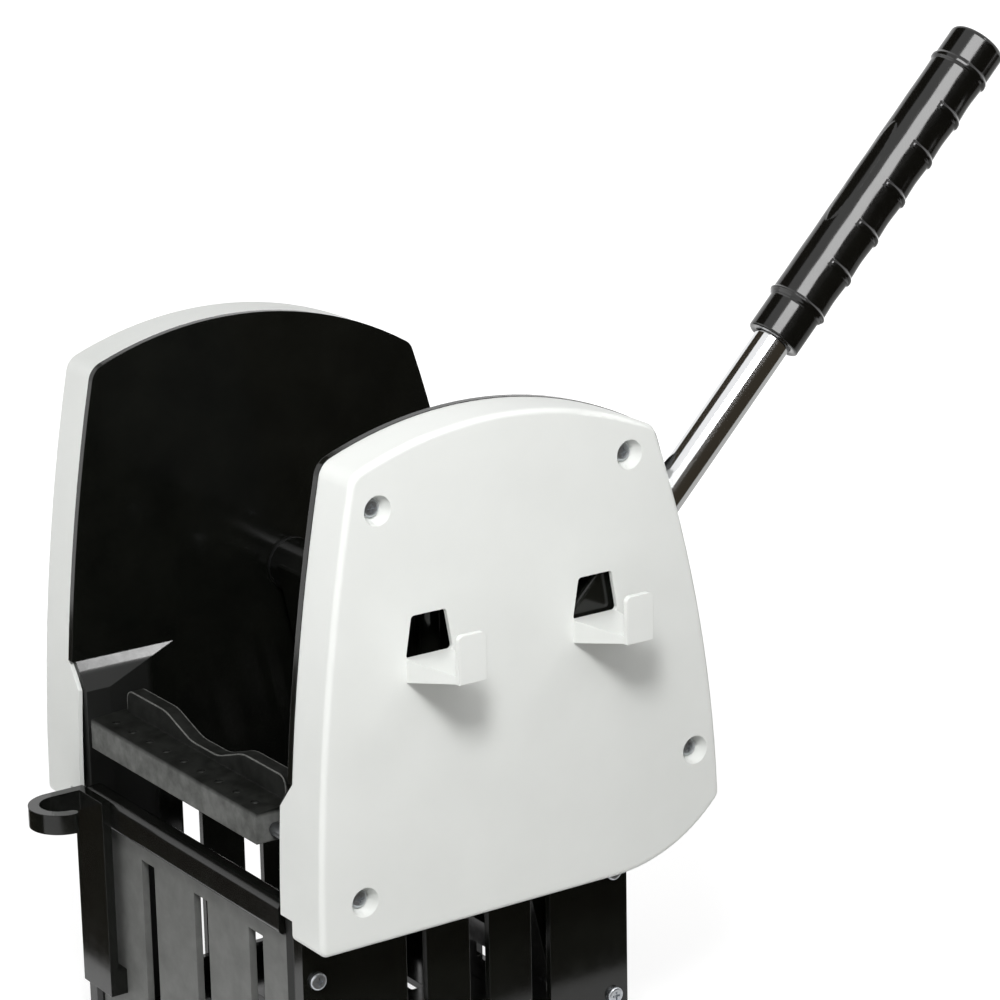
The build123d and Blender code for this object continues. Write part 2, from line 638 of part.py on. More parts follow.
def mop_handle_hook():
    """Open ring for a mop handle on a plate, which is screwed to the rail and ends in a long leg
    whose foot rests on the strainer."""
    outer = HANDLE_BORE + HANDLE_BAND
    middle = HANDLE_BORE + HANDLE_BAND / 2
    turn = math.radians(HANDLE_TIP_TURN)
    tip = Vector(math.cos(turn), math.sin(turn))
    far = 2 * outer
    right = ((0, 0), (far, far * math.tan(turn)), (far, far))
    mouth = make_face(Polyline(*right, (-far, far), (-far, 0), close=True))
    depth = RAIL_FRONT - HANDLE_Y
    end = HANDLE_PLATE_REACH
    plan = Circle(outer) - Circle(HANDLE_BORE) - mouth
    plan += Pos(tip.X * middle, tip.Y * middle) * Circle(HANDLE_BAND / 2)
    plan += rectangle(-outer, -HANDLE_BORE, 0, depth)
    hook = extrude(Pos(HANDLE_X, HANDLE_Y, RAIL_TOP - HANDLE_HEIGHT) * plan, HANDLE_HEIGHT)
    low = RAIL_TOP - HANDLE_LEG
    front = RAIL_FRONT - HANDLE_PLATE_WALL
    hook += block(HANDLE_X - outer, HANDLE_X + end, front, RAIL_FRONT, low, RAIL_TOP)
    inner = HANDLE_X + end - HANDLE_FOOT_WIDTH
    hook += block(inner, HANDLE_X + end, RAIL_FRONT, STRAINER_FRONT, low, low + HANDLE_FOOT_HEIGHT)
    for x in HANDLE_SCREW_XS:
        deep = RAIL_FRONT - HANDLE_SCREW_BITE
        hook -= tube_y(SCREW_RADIUS + RUN_GAP, deep, RAIL_FRONT, x, HANDLE_SCREW_Z)
    return hook


def hook_screws():
    """Screws from behind the rail that hold the handle hook."""
    screw = Rot(-90, 0, 0) * pan_screw(RAIL_DEPTH + HANDLE_SCREW_BITE)
    seat = RAIL_FRONT + RAIL_DEPTH
    return group(Pos(x, seat, HANDLE_SCREW_Z) * screw for x in HANDLE_SCREW_XS)


def shaft_bush():
    """Flanged plain bush in the right cheek, with its flange inside the hopper."""
    outer = SHAFT_RADIUS + RUN_GAP + BUSH_WALL
    inner_end = LINER_INNER - BUSH_FLANGE_WALL
    bush = tube_x(outer, LINER_INNER, BOSS_FACE, SHAFT_Y, SHAFT_Z)
    bush += tube_x(outer + BUSH_FLANGE, inner_end, LINER_INNER, SHAFT_Y, SHAFT_Z)
    return bush - tube_x(SHAFT_RADIUS + RUN_GAP, inner_end, BOSS_FACE, SHAFT_Y, SHAFT_Z)


def key_block(x0, x1):
    """Square key on top of the shaft, half sunk in it."""
    half = KEY_WIDTH / 2
    middle = SHAFT_Z + SHAFT_RADIUS
    return block(x0, x1, SHAFT_Y - half, SHAFT_Y + half, middle - KEY_HEIGHT / 2, middle + KEY_HEIGHT / 2)


def cross_shaft():
    """Shaft across the hopper, with clip grooves, keyways and holes for the jaw bolts."""
    right = ARM_OUTER + CLIP_GAP
    left = -CRANK_OUTER - CLIP_GAP
    end = CLIP_WALL + SHAFT_END
    shaft = tube_x(SHAFT_RADIUS, left - end, right + end, SHAFT_Y, SHAFT_Z)
    for x in (left - CLIP_WALL, right):
        groove = tube_x(SHAFT_RADIUS, x, x + CLIP_WALL, SHAFT_Y, SHAFT_Z)
        shaft -= groove - tube_x(SHAFT_RADIUS - CLIP_GROOVE, x, x + CLIP_WALL, SHAFT_Y, SHAFT_Z)
    shaft -= NODES["arm_key"]
    shaft -= NODES["crank_key"]
    for x in JAW_BOLT_XS:
        shaft -= JAW * tube_y(JAW_BOLT_RADIUS + RUN_GAP, -SHAFT_RADIUS, SHAFT_RADIUS, x, 0)
    return shaft


def retaining_clip(x):
    """Open clip in a groove of the shaft."""
    clip = tube_x(CLIP_RADIUS, x, x + CLIP_WALL, SHAFT_Y, SHAFT_Z)
    clip -= tube_x(SHAFT_RADIUS - CLIP_GROOVE + RUN_GAP, x, x + CLIP_WALL, SHAFT_Y, SHAFT_Z)
    half = CLIP_MOUTH / 2
    return clip - block(x, x + CLIP_WALL, SHAFT_Y - half, SHAFT_Y + half, SHAFT_Z - CLIP_RADIUS, SHAFT_Z)


def pin_holes():
    """Cross holes for the pins of the lever tube, on the lever axis."""
    holes = [tube_x(PIN_RADIUS + RUN_GAP, -TUBE_RADIUS, TUBE_RADIUS, 0, s) for s in PIN_STATIONS]
    return holes[0] + holes[1:]


def lever_arm():
    """Arm keyed to the shaft: round hub, flat bar and the spigot that carries the tube."""
    half = ARM_THICKNESS / 2
    bar = block(-half, half, -ARM_WIDTH / 2, ARM_WIDTH / 2, 0, ARM_LENGTH)
    bar = fillet(bar.edges().filter_by(Axis.Z), ARM_EDGE_RADIUS)
    arm = bar + tube_x(ARM_HUB_RADIUS, -half, half, 0, 0)
    bore = TUBE_RADIUS - TUBE_WALL - RUN_GAP
    arm += Pos(0, 0, ARM_LENGTH) * Cylinder(bore, SPIGOT_LENGTH, align=UPRIGHT)
    arm -= tube_x(SHAFT_RADIUS + RUN_GAP, -half, half, 0, 0)
    return LEVER * (arm - pin_holes()) - NODES["arm_key"]


def lever_tube():
    """Chrome tube of the lever."""
    length = TUBE_END - ARM_LENGTH
    tube = Cylinder(TUBE_RADIUS, length, align=UPRIGHT)
    tube -= Cylinder(TUBE_RADIUS - TUBE_WALL, length, align=UPRIGHT)
    return LEVER * (Pos(0, 0, ARM_LENGTH) * tube - pin_holes())


def tube_pins():
    """Pins through the tube and the spigot, flush with the tube."""
    around = Pos(0, 0, ARM_LENGTH) * Cylinder(TUBE_RADIUS, SPIGOT_LENGTH, align=UPRIGHT)
    pins = [tube_x(PIN_RADIUS, -TUBE_RADIUS, TUBE_RADIUS, 0, s) & around for s in PIN_STATIONS]
    return group(LEVER * pin for pin in pins)


def turned(outline, offset_y):
    """Solid of revolution about the lever axis, or about a line beside it."""
    face = make_face(outline)
    return Pos(0, offset_y, 0) * revolve(Plane.XZ * face, Axis.Z, 360)


def grip_ring(station, radius, offset_y):
    """Rounded ring on the grip. An offset lets it fade out towards the top."""
    low = station - RING_WIDTH / 2
    high = station + RING_WIDTH / 2
    root = FINGER_RADIUS - RING_WIDTH / 2
    crown = ThreePointArc((root, low), (radius, station), (root, high))
    return turned(crown + Polyline((root, high), (0, high), (0, low), (root, low)), offset_y)


def finger_recess(station):
    """Hollow under the grip between two rings. It fades out towards the top."""
    radius = (FINGER_RADIUS + FINGER_TOP) / 2
    low = station - (RING_PITCH - RING_LAND) / 2
    high = station + (RING_PITCH - RING_LAND) / 2
    edge = GRIP_RADIUS + FINGER_TOP - radius - FINGER_STEP
    far = RING_RADIUS + GRIP_RADIUS
    hollow = ThreePointArc((edge, low), (radius, station), (edge, high))
    rest = Polyline((edge, high), (far, high), (far, low), (edge, low))
    return turned(hollow + rest, radius - FINGER_TOP)


def lever_grip():
    """Moulded grip: a narrow collar, then finger hollows between rings that fade out on top."""
    body = Pos(0, 0, RING_FIRST) * Cylinder(GRIP_RADIUS, GRIP_LENGTH - RING_FIRST, align=UPRIGHT)
    body = fillet(body.edges().sort_by(Axis.Z)[-1], GRIP_END_RADIUS)
    body += Cylinder(GRIP_COLLAR_RADIUS, RING_FIRST, align=UPRIGHT)
    stations = [RING_FIRST + i * RING_PITCH for i in range(RING_COUNT)]
    for station in stations[:-1]:
        body -= finger_recess(station + RING_PITCH / 2)
    for station in (stations[0], stations[-1]):
        body += grip_ring(station, RING_RADIUS, 0)
    for station in stations[1:-1]:
        body += grip_ring(station, (RING_RADIUS + RING_TOP) / 2, (RING_RADIUS - RING_TOP) / 2)
    body -= Cylinder(TUBE_RADIUS + RUN_GAP, TUBE_END - GRIP_START + FIT_GAP, align=UPRIGHT)
    return LEVER * (Pos(0, 0, GRIP_START) * body)


def press_jaw():
    """Slotted plate on a hub, with tapering ribs behind it and seats for its bolts."""
    length = LINER_INNER - BUSH_FLANGE_WALL - FIT_GAP
    back = JAW_FACE_WALL - JAW_HUB_RADIUS
    jaw = tube_x(JAW_HUB_RADIUS, -length, length, 0, 0)
    jaw += block(-JAW_HALF, JAW_HALF, -JAW_HUB_RADIUS, back, -JAW_LENGTH, JAW_FACE_TOP)
    rib = ((back, 0), (JAW_HUB_RADIUS, 0), (back + JAW_RIB_TIP, -JAW_LENGTH), (back, -JAW_LENGTH))
    rib = make_face(Polyline(*rib, close=True))
    half = JAW_RIB_WALL / 2
    centres = spaced(JAW_RIB_COUNT, JAW_RIB_PITCH)
    for x in centres:
        jaw += slab(rib, x - half, x + half)
    side = JAW_SLOT_WIDTH / 2
    for x in spaced(JAW_RIB_COUNT - 1, JAW_RIB_PITCH):
        jaw -= block(x - side, x + side, -JAW_HUB_RADIUS, back, -JAW_SLOT_END, -JAW_SLOT_TOP)
    for x in JAW_BOLT_XS:
        jaw += tube_y(JAW_NUT_BOSS, 0, JAW_NUT_SEAT, x, 0)
        jaw -= tube_y(JAW_BOLT_RADIUS + RUN_GAP, -JAW_HUB_RADIUS, JAW_NUT_SEAT, x, 0)
    return JAW * (jaw - tube_x(SHAFT_RADIUS + RUN_GAP, -length, length, 0, 0))


def jaw_bolt(x):
    """Bolt through the jaw hub and the shaft."""
    end = JAW_NUT_SEAT + JAW_NUT_WALL + JAW_BOLT_PROUD
    seat = -JAW_HUB_RADIUS
    head = tube_y(JAW_BOLT_HEAD_RADIUS, seat - JAW_BOLT_HEAD, seat, x, 0)
    return JAW * (head + tube_y(JAW_BOLT_RADIUS, seat, end, x, 0))


def jaw_nut(x):
    """Hexagon nut on a jaw bolt."""
    face = RegularPolygon(JAW_NUT_RADIUS, 6) - Circle(JAW_BOLT_RADIUS + RUN_GAP)
    nut = extrude(face, JAW_NUT_WALL)
    return JAW * (Pos(x, JAW_NUT_SEAT, 0) * Rot(-90, 0, 0) * nut)


def spring_crank():
    """Flat crank on the far end of the shaft."""
    hub = Pos(SHAFT_Y, SHAFT_Z) * Circle(CRANK_HUB_RADIUS)
    tip = Pos(PIN_Y, PIN_Z) * Circle(CRANK_TIP_RADIUS)
    crank = slab(make_hull(hub.edges() + tip.edges()), -CRANK_OUTER, -CRANK_INNER)
    crank -= tube_x(SHAFT_RADIUS + RUN_GAP, -CRANK_OUTER, -CRANK_INNER, SHAFT_Y, SHAFT_Z)
    crank -= tube_x(PEG_RADIUS + RUN_GAP, -CRANK_OUTER, -CRANK_INNER, PIN_Y, PIN_Z)
    return crank - NODES["crank_key"]


def headed_peg(root_x, z):
    """Peg for an end of the spring, with a head that keeps the hook on it."""
    peg = tube_x(PEG_RADIUS, -PEG_END, root_x, PIN_Y, z)
    return peg + tube_x(PEG_HEAD_RADIUS, -PEG_END, PEG_HEAD_WALL - PEG_END, PIN_Y, z)


def biarc(start, start_dir, end, end_dir):
    """Two tangent arcs from one point and direction to another."""
    way = end - start
    lean = start_dir + end_dir
    along = way.dot(lean)
    open_part = 4 - lean.dot(lean)
    reach = (math.sqrt(along ** 2 + way.dot(way) * open_part) - along) / open_part
    middle = (start + start_dir * reach + end - end_dir * reach) * 0.5
    first = TangentArc(start, middle, tangent=start_dir)
    second = TangentArc(middle, end, tangent=first % 1)
    return [first, second]


def spring_stations(length):
    """Points and directions along the wire: lower hook, turns, upper hook. The spring stands on
    its lower peg at the origin and its upper peg is the given length above."""
    hook = PEG_RADIUS + FIT_GAP + SPRING_WIRE_RADIUS
    coil = SPRING_TURNS * SPRING_PITCH
    slope = SPRING_PITCH / (2 * math.pi * SPRING_RADIUS)
    up, ahead = Vector(0, 0, 1), Vector(0, 1, 0)
    stations = [(ahead * -hook, -up), (up * -hook, ahead), (ahead * hook, up)]
    for quarter in range(4 * SPRING_TURNS + 1):
        angle = (quarter + 1) * math.pi / 2
        rise = (length - coil) / 2 + quarter * SPRING_PITCH / 4
        point = Vector(SPRING_RADIUS * math.cos(angle), SPRING_RADIUS * math.sin(angle), rise)
        stations.append((point, Vector(-math.sin(angle), math.cos(angle), slope).normalized()))
    top = up * length
    stations += [(top + ahead * hook, up), (top + up * hook, -ahead), (top - ahead * hook, -up)]
    return stations


def least_turn_gap(arcs):
    """Least distance between parts of the wire that are half a turn or more apart."""
    steps = 4
    half_turn = 4 * steps
    points = [arc @ (i / steps) for arc in arcs for i in range(steps)]
    pairs = [(a, b) for i, a in enumerate(points) for b in points[i + half_turn:]]
    return min((a - b).length for a, b in pairs) - 2 * SPRING_WIRE_RADIUS


def return_spring():
    """Tension spring with a hook at each end, as one unbroken wire."""
    stations = spring_stations(PIN_Z - ANCHOR_Z)
    arcs = []
    for (start, start_dir), (end, end_dir) in zip(stations, stations[1:]):
        arcs += biarc(start, start_dir, end, end_dir)
    gap = least_turn_gap(arcs)
    print(f"least gap between turns of the spring {gap:.2f} mm")
    assert gap > LEAST_TURN_GAP
    path = Wire(arcs)
    wire = sweep(Plane(path @ 0, z_dir=path % 0) * Circle(SPRING_WIRE_RADIUS), path=path)
    return Pos(-SPRING_X, PIN_Y, ANCHOR_Z) * wire


liner = cheek_liner()
bumper_y, bumper_z = bumper_place()
bumper_end = LINER_OUTER + BUMPER_LENGTH
peg_hole = tube_x(PEG_RADIUS + RUN_GAP, -LINER_OUTER, PEG_SINK - LINER_OUTER, PIN_Y, ANCHOR_Z)
NODES["cover_right"] = side_cover(True)
NODES["cover_left"] = to_left(side_cover(False))
NODES["liner_right"] = liner + tube_x(BUMPER_PEG_RADIUS, LINER_OUTER, bumper_end, bumper_y, bumper_z)
NODES["liner_left"] = to_left(liner) - peg_hole
NODES["cover_screws_right"] = group(screws_right(SCREW_POINTS, RECESS_FLOOR, SCREW_LENGTH))
NODES["cover_screws_left"] = to_left(NODES["cover_screws_right"])
long_screws = screws_right(FRONT_SCREW_POINTS, LINER_OUTER, LINER_OUTER - PAD_FACE + PANEL_SCREW_REACH)
short_points = REAR_SCREW_POINTS + FLOOR_SCREW_POINTS
short_screws = screws_right(short_points, LINER_OUTER, LINER_WALL + PANEL_SCREW_REACH)
NODES["frame_screws_right"] = group(long_screws + short_screws)
NODES["frame_screws_left"] = to_left(NODES["frame_screws_right"])
NODES["front_strainer"] = front_strainer()
NODES["rear_panel"] = rear_panel()
NODES["floor_grid"] = floor_grid()
NODES["front_jaw"] = front_jaw()
rod_end = LINER_OUTER + ROD_END
NODES["front_jaw_rods"] = group(tube_x(ROD_RADIUS, -rod_end, rod_end, y, ROD_Z) for y in ROD_YS)
NODES["rod_clips"] = rod_clips()
NODES["mop_handle_hook"] = mop_handle_hook()
NODES["hook_screws"] = hook_screws()
NODES["shaft_bush_right"] = shaft_bush()
NODES["shaft_bush_left"] = to_left(NODES["shaft_bush_right"])
NODES["arm_key"] = key_block(ARM_INNER + KEY_INSET, ARM_OUTER - KEY_INSET)
NODES["crank_key"] = key_block(KEY_INSET - CRANK_OUTER, -CRANK_INNER - KEY_INSET)
NODES["cross_shaft"] = cross_shaft()
clip_xs = (ARM_OUTER + CLIP_GAP, -CRANK_OUTER - CLIP_GAP - CLIP_WALL)
NODES["shaft_clips"] = group(retaining_clip(x) for x in clip_xs)
NODES["lever_arm"] = lever_arm()
NODES["lever_tube"] = lever_tube()
NODES["tube_pins"] = tube_pins()
NODES["lever_grip"] = lever_grip()
bumper = tube_x(BUMPER_RADIUS, LINER_OUTER, bumper_end, bumper_y, bumper_z)
bumper -= tube_x(BUMPER_PEG_RADIUS + RUN_GAP, LINER_OUTER, bumper_end, bumper_y, bumper_z)
NODES["stop_bumper"] = bumper
NODES["press_jaw"] = press_jaw()
NODES["jaw_bolts"] = group(jaw_bolt(x) for x in JAW_BOLT_XS)
NODES["jaw_nuts"] = group(jaw_nut(x) for x in JAW_BOLT_XS)
NODES["spring_crank"] = spring_crank()
NODES["crank_pin"] = headed_peg(-CRANK_INNER, PIN_Z)
NODES["spring_anchor_peg"] = headed_peg(PEG_SINK - LINER_OUTER, ANCHOR_Z)
NODES["return_spring"] = return_spring()

os.makedirs("parts", exist_ok=True)
to_base = Pos(0, -(HOPPER_FRONT + HOPPER_REAR) / 2, HOPPER_DEPTH)
for name, shape in NODES.items():
    export_step(to_base * shape, f"parts/{name}.step")
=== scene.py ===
"""Lever-operated mop wringer: finishes, smooth surfaces, light and camera.

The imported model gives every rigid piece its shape. This script dresses each piece in the
material that the real one is made of, builds the grip and the return spring as smooth
surfaces, and sets up a plain pale studio.
"""

import logging
import math
from dataclasses import dataclass
from enum import Enum

import bpy
import numpy as np
from mathutils import Matrix, Vector


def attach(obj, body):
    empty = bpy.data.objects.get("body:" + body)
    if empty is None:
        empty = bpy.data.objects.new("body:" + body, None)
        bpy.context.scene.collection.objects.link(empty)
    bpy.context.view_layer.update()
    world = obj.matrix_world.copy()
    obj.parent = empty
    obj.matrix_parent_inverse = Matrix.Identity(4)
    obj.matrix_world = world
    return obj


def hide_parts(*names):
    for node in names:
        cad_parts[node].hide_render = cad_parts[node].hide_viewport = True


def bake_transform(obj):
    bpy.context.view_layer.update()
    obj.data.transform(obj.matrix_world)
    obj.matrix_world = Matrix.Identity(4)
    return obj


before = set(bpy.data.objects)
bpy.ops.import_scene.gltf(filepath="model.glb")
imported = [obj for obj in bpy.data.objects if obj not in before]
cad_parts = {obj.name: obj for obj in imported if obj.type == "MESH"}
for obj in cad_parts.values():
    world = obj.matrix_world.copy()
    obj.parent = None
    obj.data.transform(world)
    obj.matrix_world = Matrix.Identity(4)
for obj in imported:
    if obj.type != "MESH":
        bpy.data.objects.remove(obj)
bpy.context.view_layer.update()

LOG = logging.getLogger("mop_wringer")
MM = 0.001
# Slope of the lever at rest, in degrees
LEVER_ANGLE = 45.6

# The sRGB curve: a straight line up to the knee, and a power above it
SRGB_KNEE = 0.04045
SRGB_SLOPE = 12.92
SRGB_OFFSET = 0.055
SRGB_POWER = 2.4
# Blender's noise lies mostly between the first two values, about the third
NOISE_LOW = 0.3
NOISE_HIGH = 0.7
NOISE_MIDDLE = 0.5
# Numbers of the mix node's sockets: two colours and their mix, and two plain values
FIRST_COLOUR = 6
SECOND_COLOUR = 7
MIXED_COLOUR = 2
FIRST_VALUE = 2
SECOND_VALUE = 3
# Points along each side of a flat sheet
SHEET_POINTS = 9

Colour = tuple[float, float, float, float]
Triple = tuple[float, float, float]
Tree = bpy.types.NodeTree
Socket = bpy.types.NodeSocket


def linear_colour(code: str) -> Colour:
    """Turn an sRGB hex code into the linear colour that shaders take.

    Args:
        code: Six hex digits with a leading hash.

    Returns:
        Linear red, green, blue and an alpha of one.
    """
    srgb = np.array([int(code[i:i + 2], 16) for i in (1, 3, 5)]) / 255.0
    low = srgb / SRGB_SLOPE
    high = ((srgb + SRGB_OFFSET) / (1.0 + SRGB_OFFSET)) ** SRGB_POWER
    red, green, blue = np.where(srgb <= SRGB_KNEE, low, high)
    return float(red), float(green), float(blue), 1.0


def add_node(tree: Tree, kind: str, settings: dict[str, object] | None = None,
             sockets: dict[str | int, object] | None = None) -> bpy.types.Node:
    """Add a node with its settings, socket values and links.

    Args:
        tree: Node tree that takes the node.
        kind: Blender's name of the node type.
        settings: Properties of the node.
        sockets: Input values, or output sockets that are linked to the inputs.

    Returns:
        The new node.
    """
    node = tree.nodes.new(kind)
    for name, value in (settings or {}).items():
        setattr(node, name, value)
    for name, value in (sockets or {}).items():
        if isinstance(value, Socket):
            tree.links.new(value, node.inputs[name])
        else:
            node.inputs[name].default_value = value
    return node


def empty_material(name: str) -> tuple[bpy.types.Material, Tree]:
    """Make a material with no nodes.

    Args:
        name: Name of the finish.

    Returns:
        The material and its node tree.
    """
    material = bpy.data.materials.new(name)
    material.use_nodes = True
    material.node_tree.nodes.clear()
    return material, material.node_tree


class Lay(Enum):
    """Direction that the drawn or polished lines of a metal follow, as a turn about X, Y, Z."""

    UPRIGHT = (0.0, 0.0, 0.0)
    ACROSS = (0.0, math.pi / 2, 0.0)
    LEVER = (math.radians(LEVER_ANGLE - 90.0), 0.0, 0.0)


class Measure(Enum):
    """What decides where a zone lies: the height, or the distance from the middle plane."""

    HEIGHT = "Z"
    FROM_MIDDLE = "X"


@dataclass(frozen=True)
class PaleZone:
    """Part of a piece with its own colour and sheen. In millimetres. It carries painted light on
    the bar's front and painted shade on the cheeks' pads.

    It lies where the height, or the distance from the middle plane, is below a limit.
    """

    light: str
    dark: str
    rough: float
    full_below: float
    gone_above: float
    measure: Measure = Measure.HEIGHT

    def mix(self, tree: Tree, place: Socket, tone: Socket, colour: Socket,
            sheen: Socket) -> tuple[Socket, Socket]:
        """Lay the zone over a piece's own colour and sheen.

        Args:
            tree: Node tree of the material.
            place: Object coordinates.
            tone: Share of the light colour.
            colour: Colour outside the zone.
            sheen: Roughness outside the zone.

        Returns:
            Colour and roughness of the whole piece.
        """
        split = add_node(tree, "ShaderNodeSeparateXYZ", None, {0: place})
        away = add_node(tree, "ShaderNodeMath", {"operation": "ABSOLUTE"}, {
            0: split.outputs[self.measure.value]})
        part = add_node(tree, "ShaderNodeMapRange", None, {
            "Value": away.outputs[0], "From Min": self.full_below * MM,
            "From Max": self.gone_above * MM, "To Min": 1.0, "To Max": 0.0}).outputs[0]
        pale = add_node(tree, "ShaderNodeMix", {"data_type": "RGBA"}, {
            0: tone, FIRST_COLOUR: linear_colour(self.dark),
            SECOND_COLOUR: linear_colour(self.light)})
        both = add_node(tree, "ShaderNodeMix", {"data_type": "RGBA"}, {
            0: part, FIRST_COLOUR: colour, SECOND_COLOUR: pale.outputs[MIXED_COLOUR]})
        dull = add_node(tree, "ShaderNodeMix", None, {
            0: part, FIRST_VALUE: sheen, SECOND_VALUE: self.rough})
        return both.outputs[MIXED_COLOUR], dull.outputs[0]


@dataclass(frozen=True)
class EdgeWear:
    """Rubbed upper edges, which show paler where mops and hands have polished them.

    Sizes are in millimetres. An edge is where the normal of a rounded edge turns away from the
    face's own normal: the wear starts at one cosine between the two and is full at another.
    """

    colour: str
    radius: float
    share: float
    none_below: float
    full_above: float
    start_cosine: float = 0.99
    full_cosine: float = 0.88
    samples: int = 8

    def mix(self, tree: Tree, place: Socket, patch: Socket, colour: Socket) -> Socket:
        """Lay the rubbed colour over the upper edges of a piece.

        Args:
            tree: Node tree of the material.
            place: Object coordinates.
            patch: Pattern that breaks the wear up.
            colour: Colour of the faces.

        Returns:
            Colour of the whole piece.
        """
        rounded = add_node(tree, "ShaderNodeBevel", {"samples": self.samples}, {
            "Radius": self.radius * MM})
        face = add_node(tree, "ShaderNodeNewGeometry")
        same = add_node(tree, "ShaderNodeVectorMath", {"operation": "DOT_PRODUCT"}, {
            0: rounded.outputs[0], 1: face.outputs["Normal"]})
        edge = add_node(tree, "ShaderNodeMapRange", None, {
            "Value": same.outputs["Value"], "From Min": self.start_cosine,
            "From Max": self.full_cosine, "To Min": 0.0, "To Max": self.share / NOISE_MIDDLE})
        split = add_node(tree, "ShaderNodeSeparateXYZ", None, {0: place})
        upper = add_node(tree, "ShaderNodeMapRange", None, {
            "Value": split.outputs["Z"], "From Min": self.none_below * MM,
            "From Max": self.full_above * MM})
        broken = add_node(tree, "ShaderNodeMath", {"operation": "MULTIPLY"}, {
            0: edge.outputs[0], 1: patch})
        part = add_node(tree, "ShaderNodeMath", {"operation": "MULTIPLY"}, {
            0: broken.outputs[0], 1: upper.outputs[0]})
        return add_node(tree, "ShaderNodeMix", {"data_type": "RGBA"}, {
            0: part.outputs[0], FIRST_COLOUR: colour,
            SECOND_COLOUR: linear_colour(self.colour)}).outputs[MIXED_COLOUR]


@dataclass(frozen=True)
class MouldedPlastic:
    """A moulded polymer: body colour, soft tone change, sheen that varies and a moulded grain.

    Sizes are in millimetres. The grain of a real mould is finer than a pixel, so it is drawn as
    coarse as it needs to be to show.
    """

    name: str
    light: str
    dark: str
    smooth: float
    rough: float
    grain_size: float
    grain_height: float
    tone_size: float
    edge_radius: float
    specular: float = 0.5
    zone: PaleZone | None = None
    wear: EdgeWear | None = None
    patches_per_tone: float = 4.0
    edge_samples: int = 4

    def material(self) -> bpy.types.Material:
        """Build the material.

        Returns:
            A material on object coordinates.
        """
        material, tree = empty_material(self.name)
        place = add_node(tree, "ShaderNodeTexCoord").outputs["Object"]
        tones = 1.0 / (self.tone_size * MM)
        cloud = add_node(tree, "ShaderNodeTexNoise", None, {
            "Vector": place, "Scale": tones, "Detail": 3.0, "Roughness": 0.6})
        tone = add_node(tree, "ShaderNodeMapRange", None, {
            "Value": cloud.outputs[0], "From Min": NOISE_LOW, "From Max": NOISE_HIGH}).outputs[0]
        colour = add_node(tree, "ShaderNodeMix", {"data_type": "RGBA"}, {
            0: tone, FIRST_COLOUR: linear_colour(self.dark),
            SECOND_COLOUR: linear_colour(self.light)}).outputs[MIXED_COLOUR]
        patch = add_node(tree, "ShaderNodeTexNoise", None, {
            "Vector": place, "Scale": self.patches_per_tone * tones, "Detail": 5.0,
            "Roughness": 0.7}).outputs[0]
        sheen = add_node(tree, "ShaderNodeMapRange", None, {
            "Value": patch, "From Min": NOISE_LOW, "From Max": NOISE_HIGH,
            "To Min": self.smooth, "To Max": self.rough}).outputs[0]
        if self.zone is not None:
            colour, sheen = self.zone.mix(tree, place, tone, colour, sheen)
        if self.wear is not None:
            colour = self.wear.mix(tree, place, patch, colour)
        grain = add_node(tree, "ShaderNodeTexNoise", None, {
            "Vector": place, "Scale": 1.0 / (self.grain_size * MM), "Detail": 2.0})
        edge = add_node(tree, "ShaderNodeBevel", {"samples": self.edge_samples}, {
            "Radius": self.edge_radius * MM})
        bump = add_node(tree, "ShaderNodeBump", None, {
            "Strength": 1.0, "Distance": self.grain_height * MM,
            "Height": grain.outputs[0], "Normal": edge.outputs[0]})
        shader = add_node(tree, "ShaderNodeBsdfPrincipled", None, {
            "Base Color": colour, "Roughness": sheen,
            "Normal": bump.outputs[0], "Specular IOR Level": self.specular})
        add_node(tree, "ShaderNodeOutputMaterial", None, {"Surface": shader.outputs[0]})
        return material


@dataclass(frozen=True)
class WorkedMetal:
    """A plated or drawn metal: its reflection, broken by fine lines along the way it was worked.

    Sizes are in millimetres. The lines of a real tube are finer than a pixel, so they are drawn as
    coarse as they need to be to show.
    """

    name: str
    light: str
    dark: str
    smooth: float
    rough: float
    line_width: float
    line_length: float
    line_depth: float
    lay: Lay

    def material(self) -> bpy.types.Material:
        """Build the material.

        Returns:
            A material on object coordinates, with its lines along the lay.
        """
        material, tree = empty_material(self.name)
        place = add_node(tree, "ShaderNodeTexCoord").outputs["Object"]
        width, length = self.line_width * MM, self.line_length * MM
        along = add_node(tree, "ShaderNodeMapping", {"vector_type": "TEXTURE"}, {
            "Vector": place, "Rotation": self.lay.value, "Scale": (width, width, length)})
        lines = add_node(tree, "ShaderNodeTexNoise", None, {
            "Vector": along.outputs[0], "Scale": 1.0, "Detail": 4.0, "Roughness": 0.65}).outputs[0]
        colour = add_node(tree, "ShaderNodeMix", {"data_type": "RGBA"}, {
            0: lines, FIRST_COLOUR: linear_colour(self.dark),
            SECOND_COLOUR: linear_colour(self.light)})
        sheen = add_node(tree, "ShaderNodeMapRange", None, {
            "Value": lines, "From Min": NOISE_LOW, "From Max": NOISE_HIGH,
            "To Min": self.smooth, "To Max": self.rough})
        bump = add_node(tree, "ShaderNodeBump", None, {
            "Strength": 1.0, "Distance": self.line_depth * MM, "Height": lines})
        shader = add_node(tree, "ShaderNodeBsdfPrincipled", None, {
            "Base Color": colour.outputs[MIXED_COLOUR], "Roughness": sheen.outputs[0],
            "Normal": bump.outputs[0], "Metallic": 1.0})
        add_node(tree, "ShaderNodeOutputMaterial", None, {"Surface": shader.outputs[0]})
        return material


Finish = MouldedPlastic | WorkedMetal

# Moulded polypropylene, white: satin, with the soft grain of a spark-eroded mould.
WHITE_POLYPROPYLENE = MouldedPlastic(
    name="white_polypropylene_satin_moulded", light="#E9EBE8", dark="#E5E7E4",
    smooth=0.34, rough=0.44, grain_size=0.7, grain_height=0.012, tone_size=60.0, edge_radius=0.5)
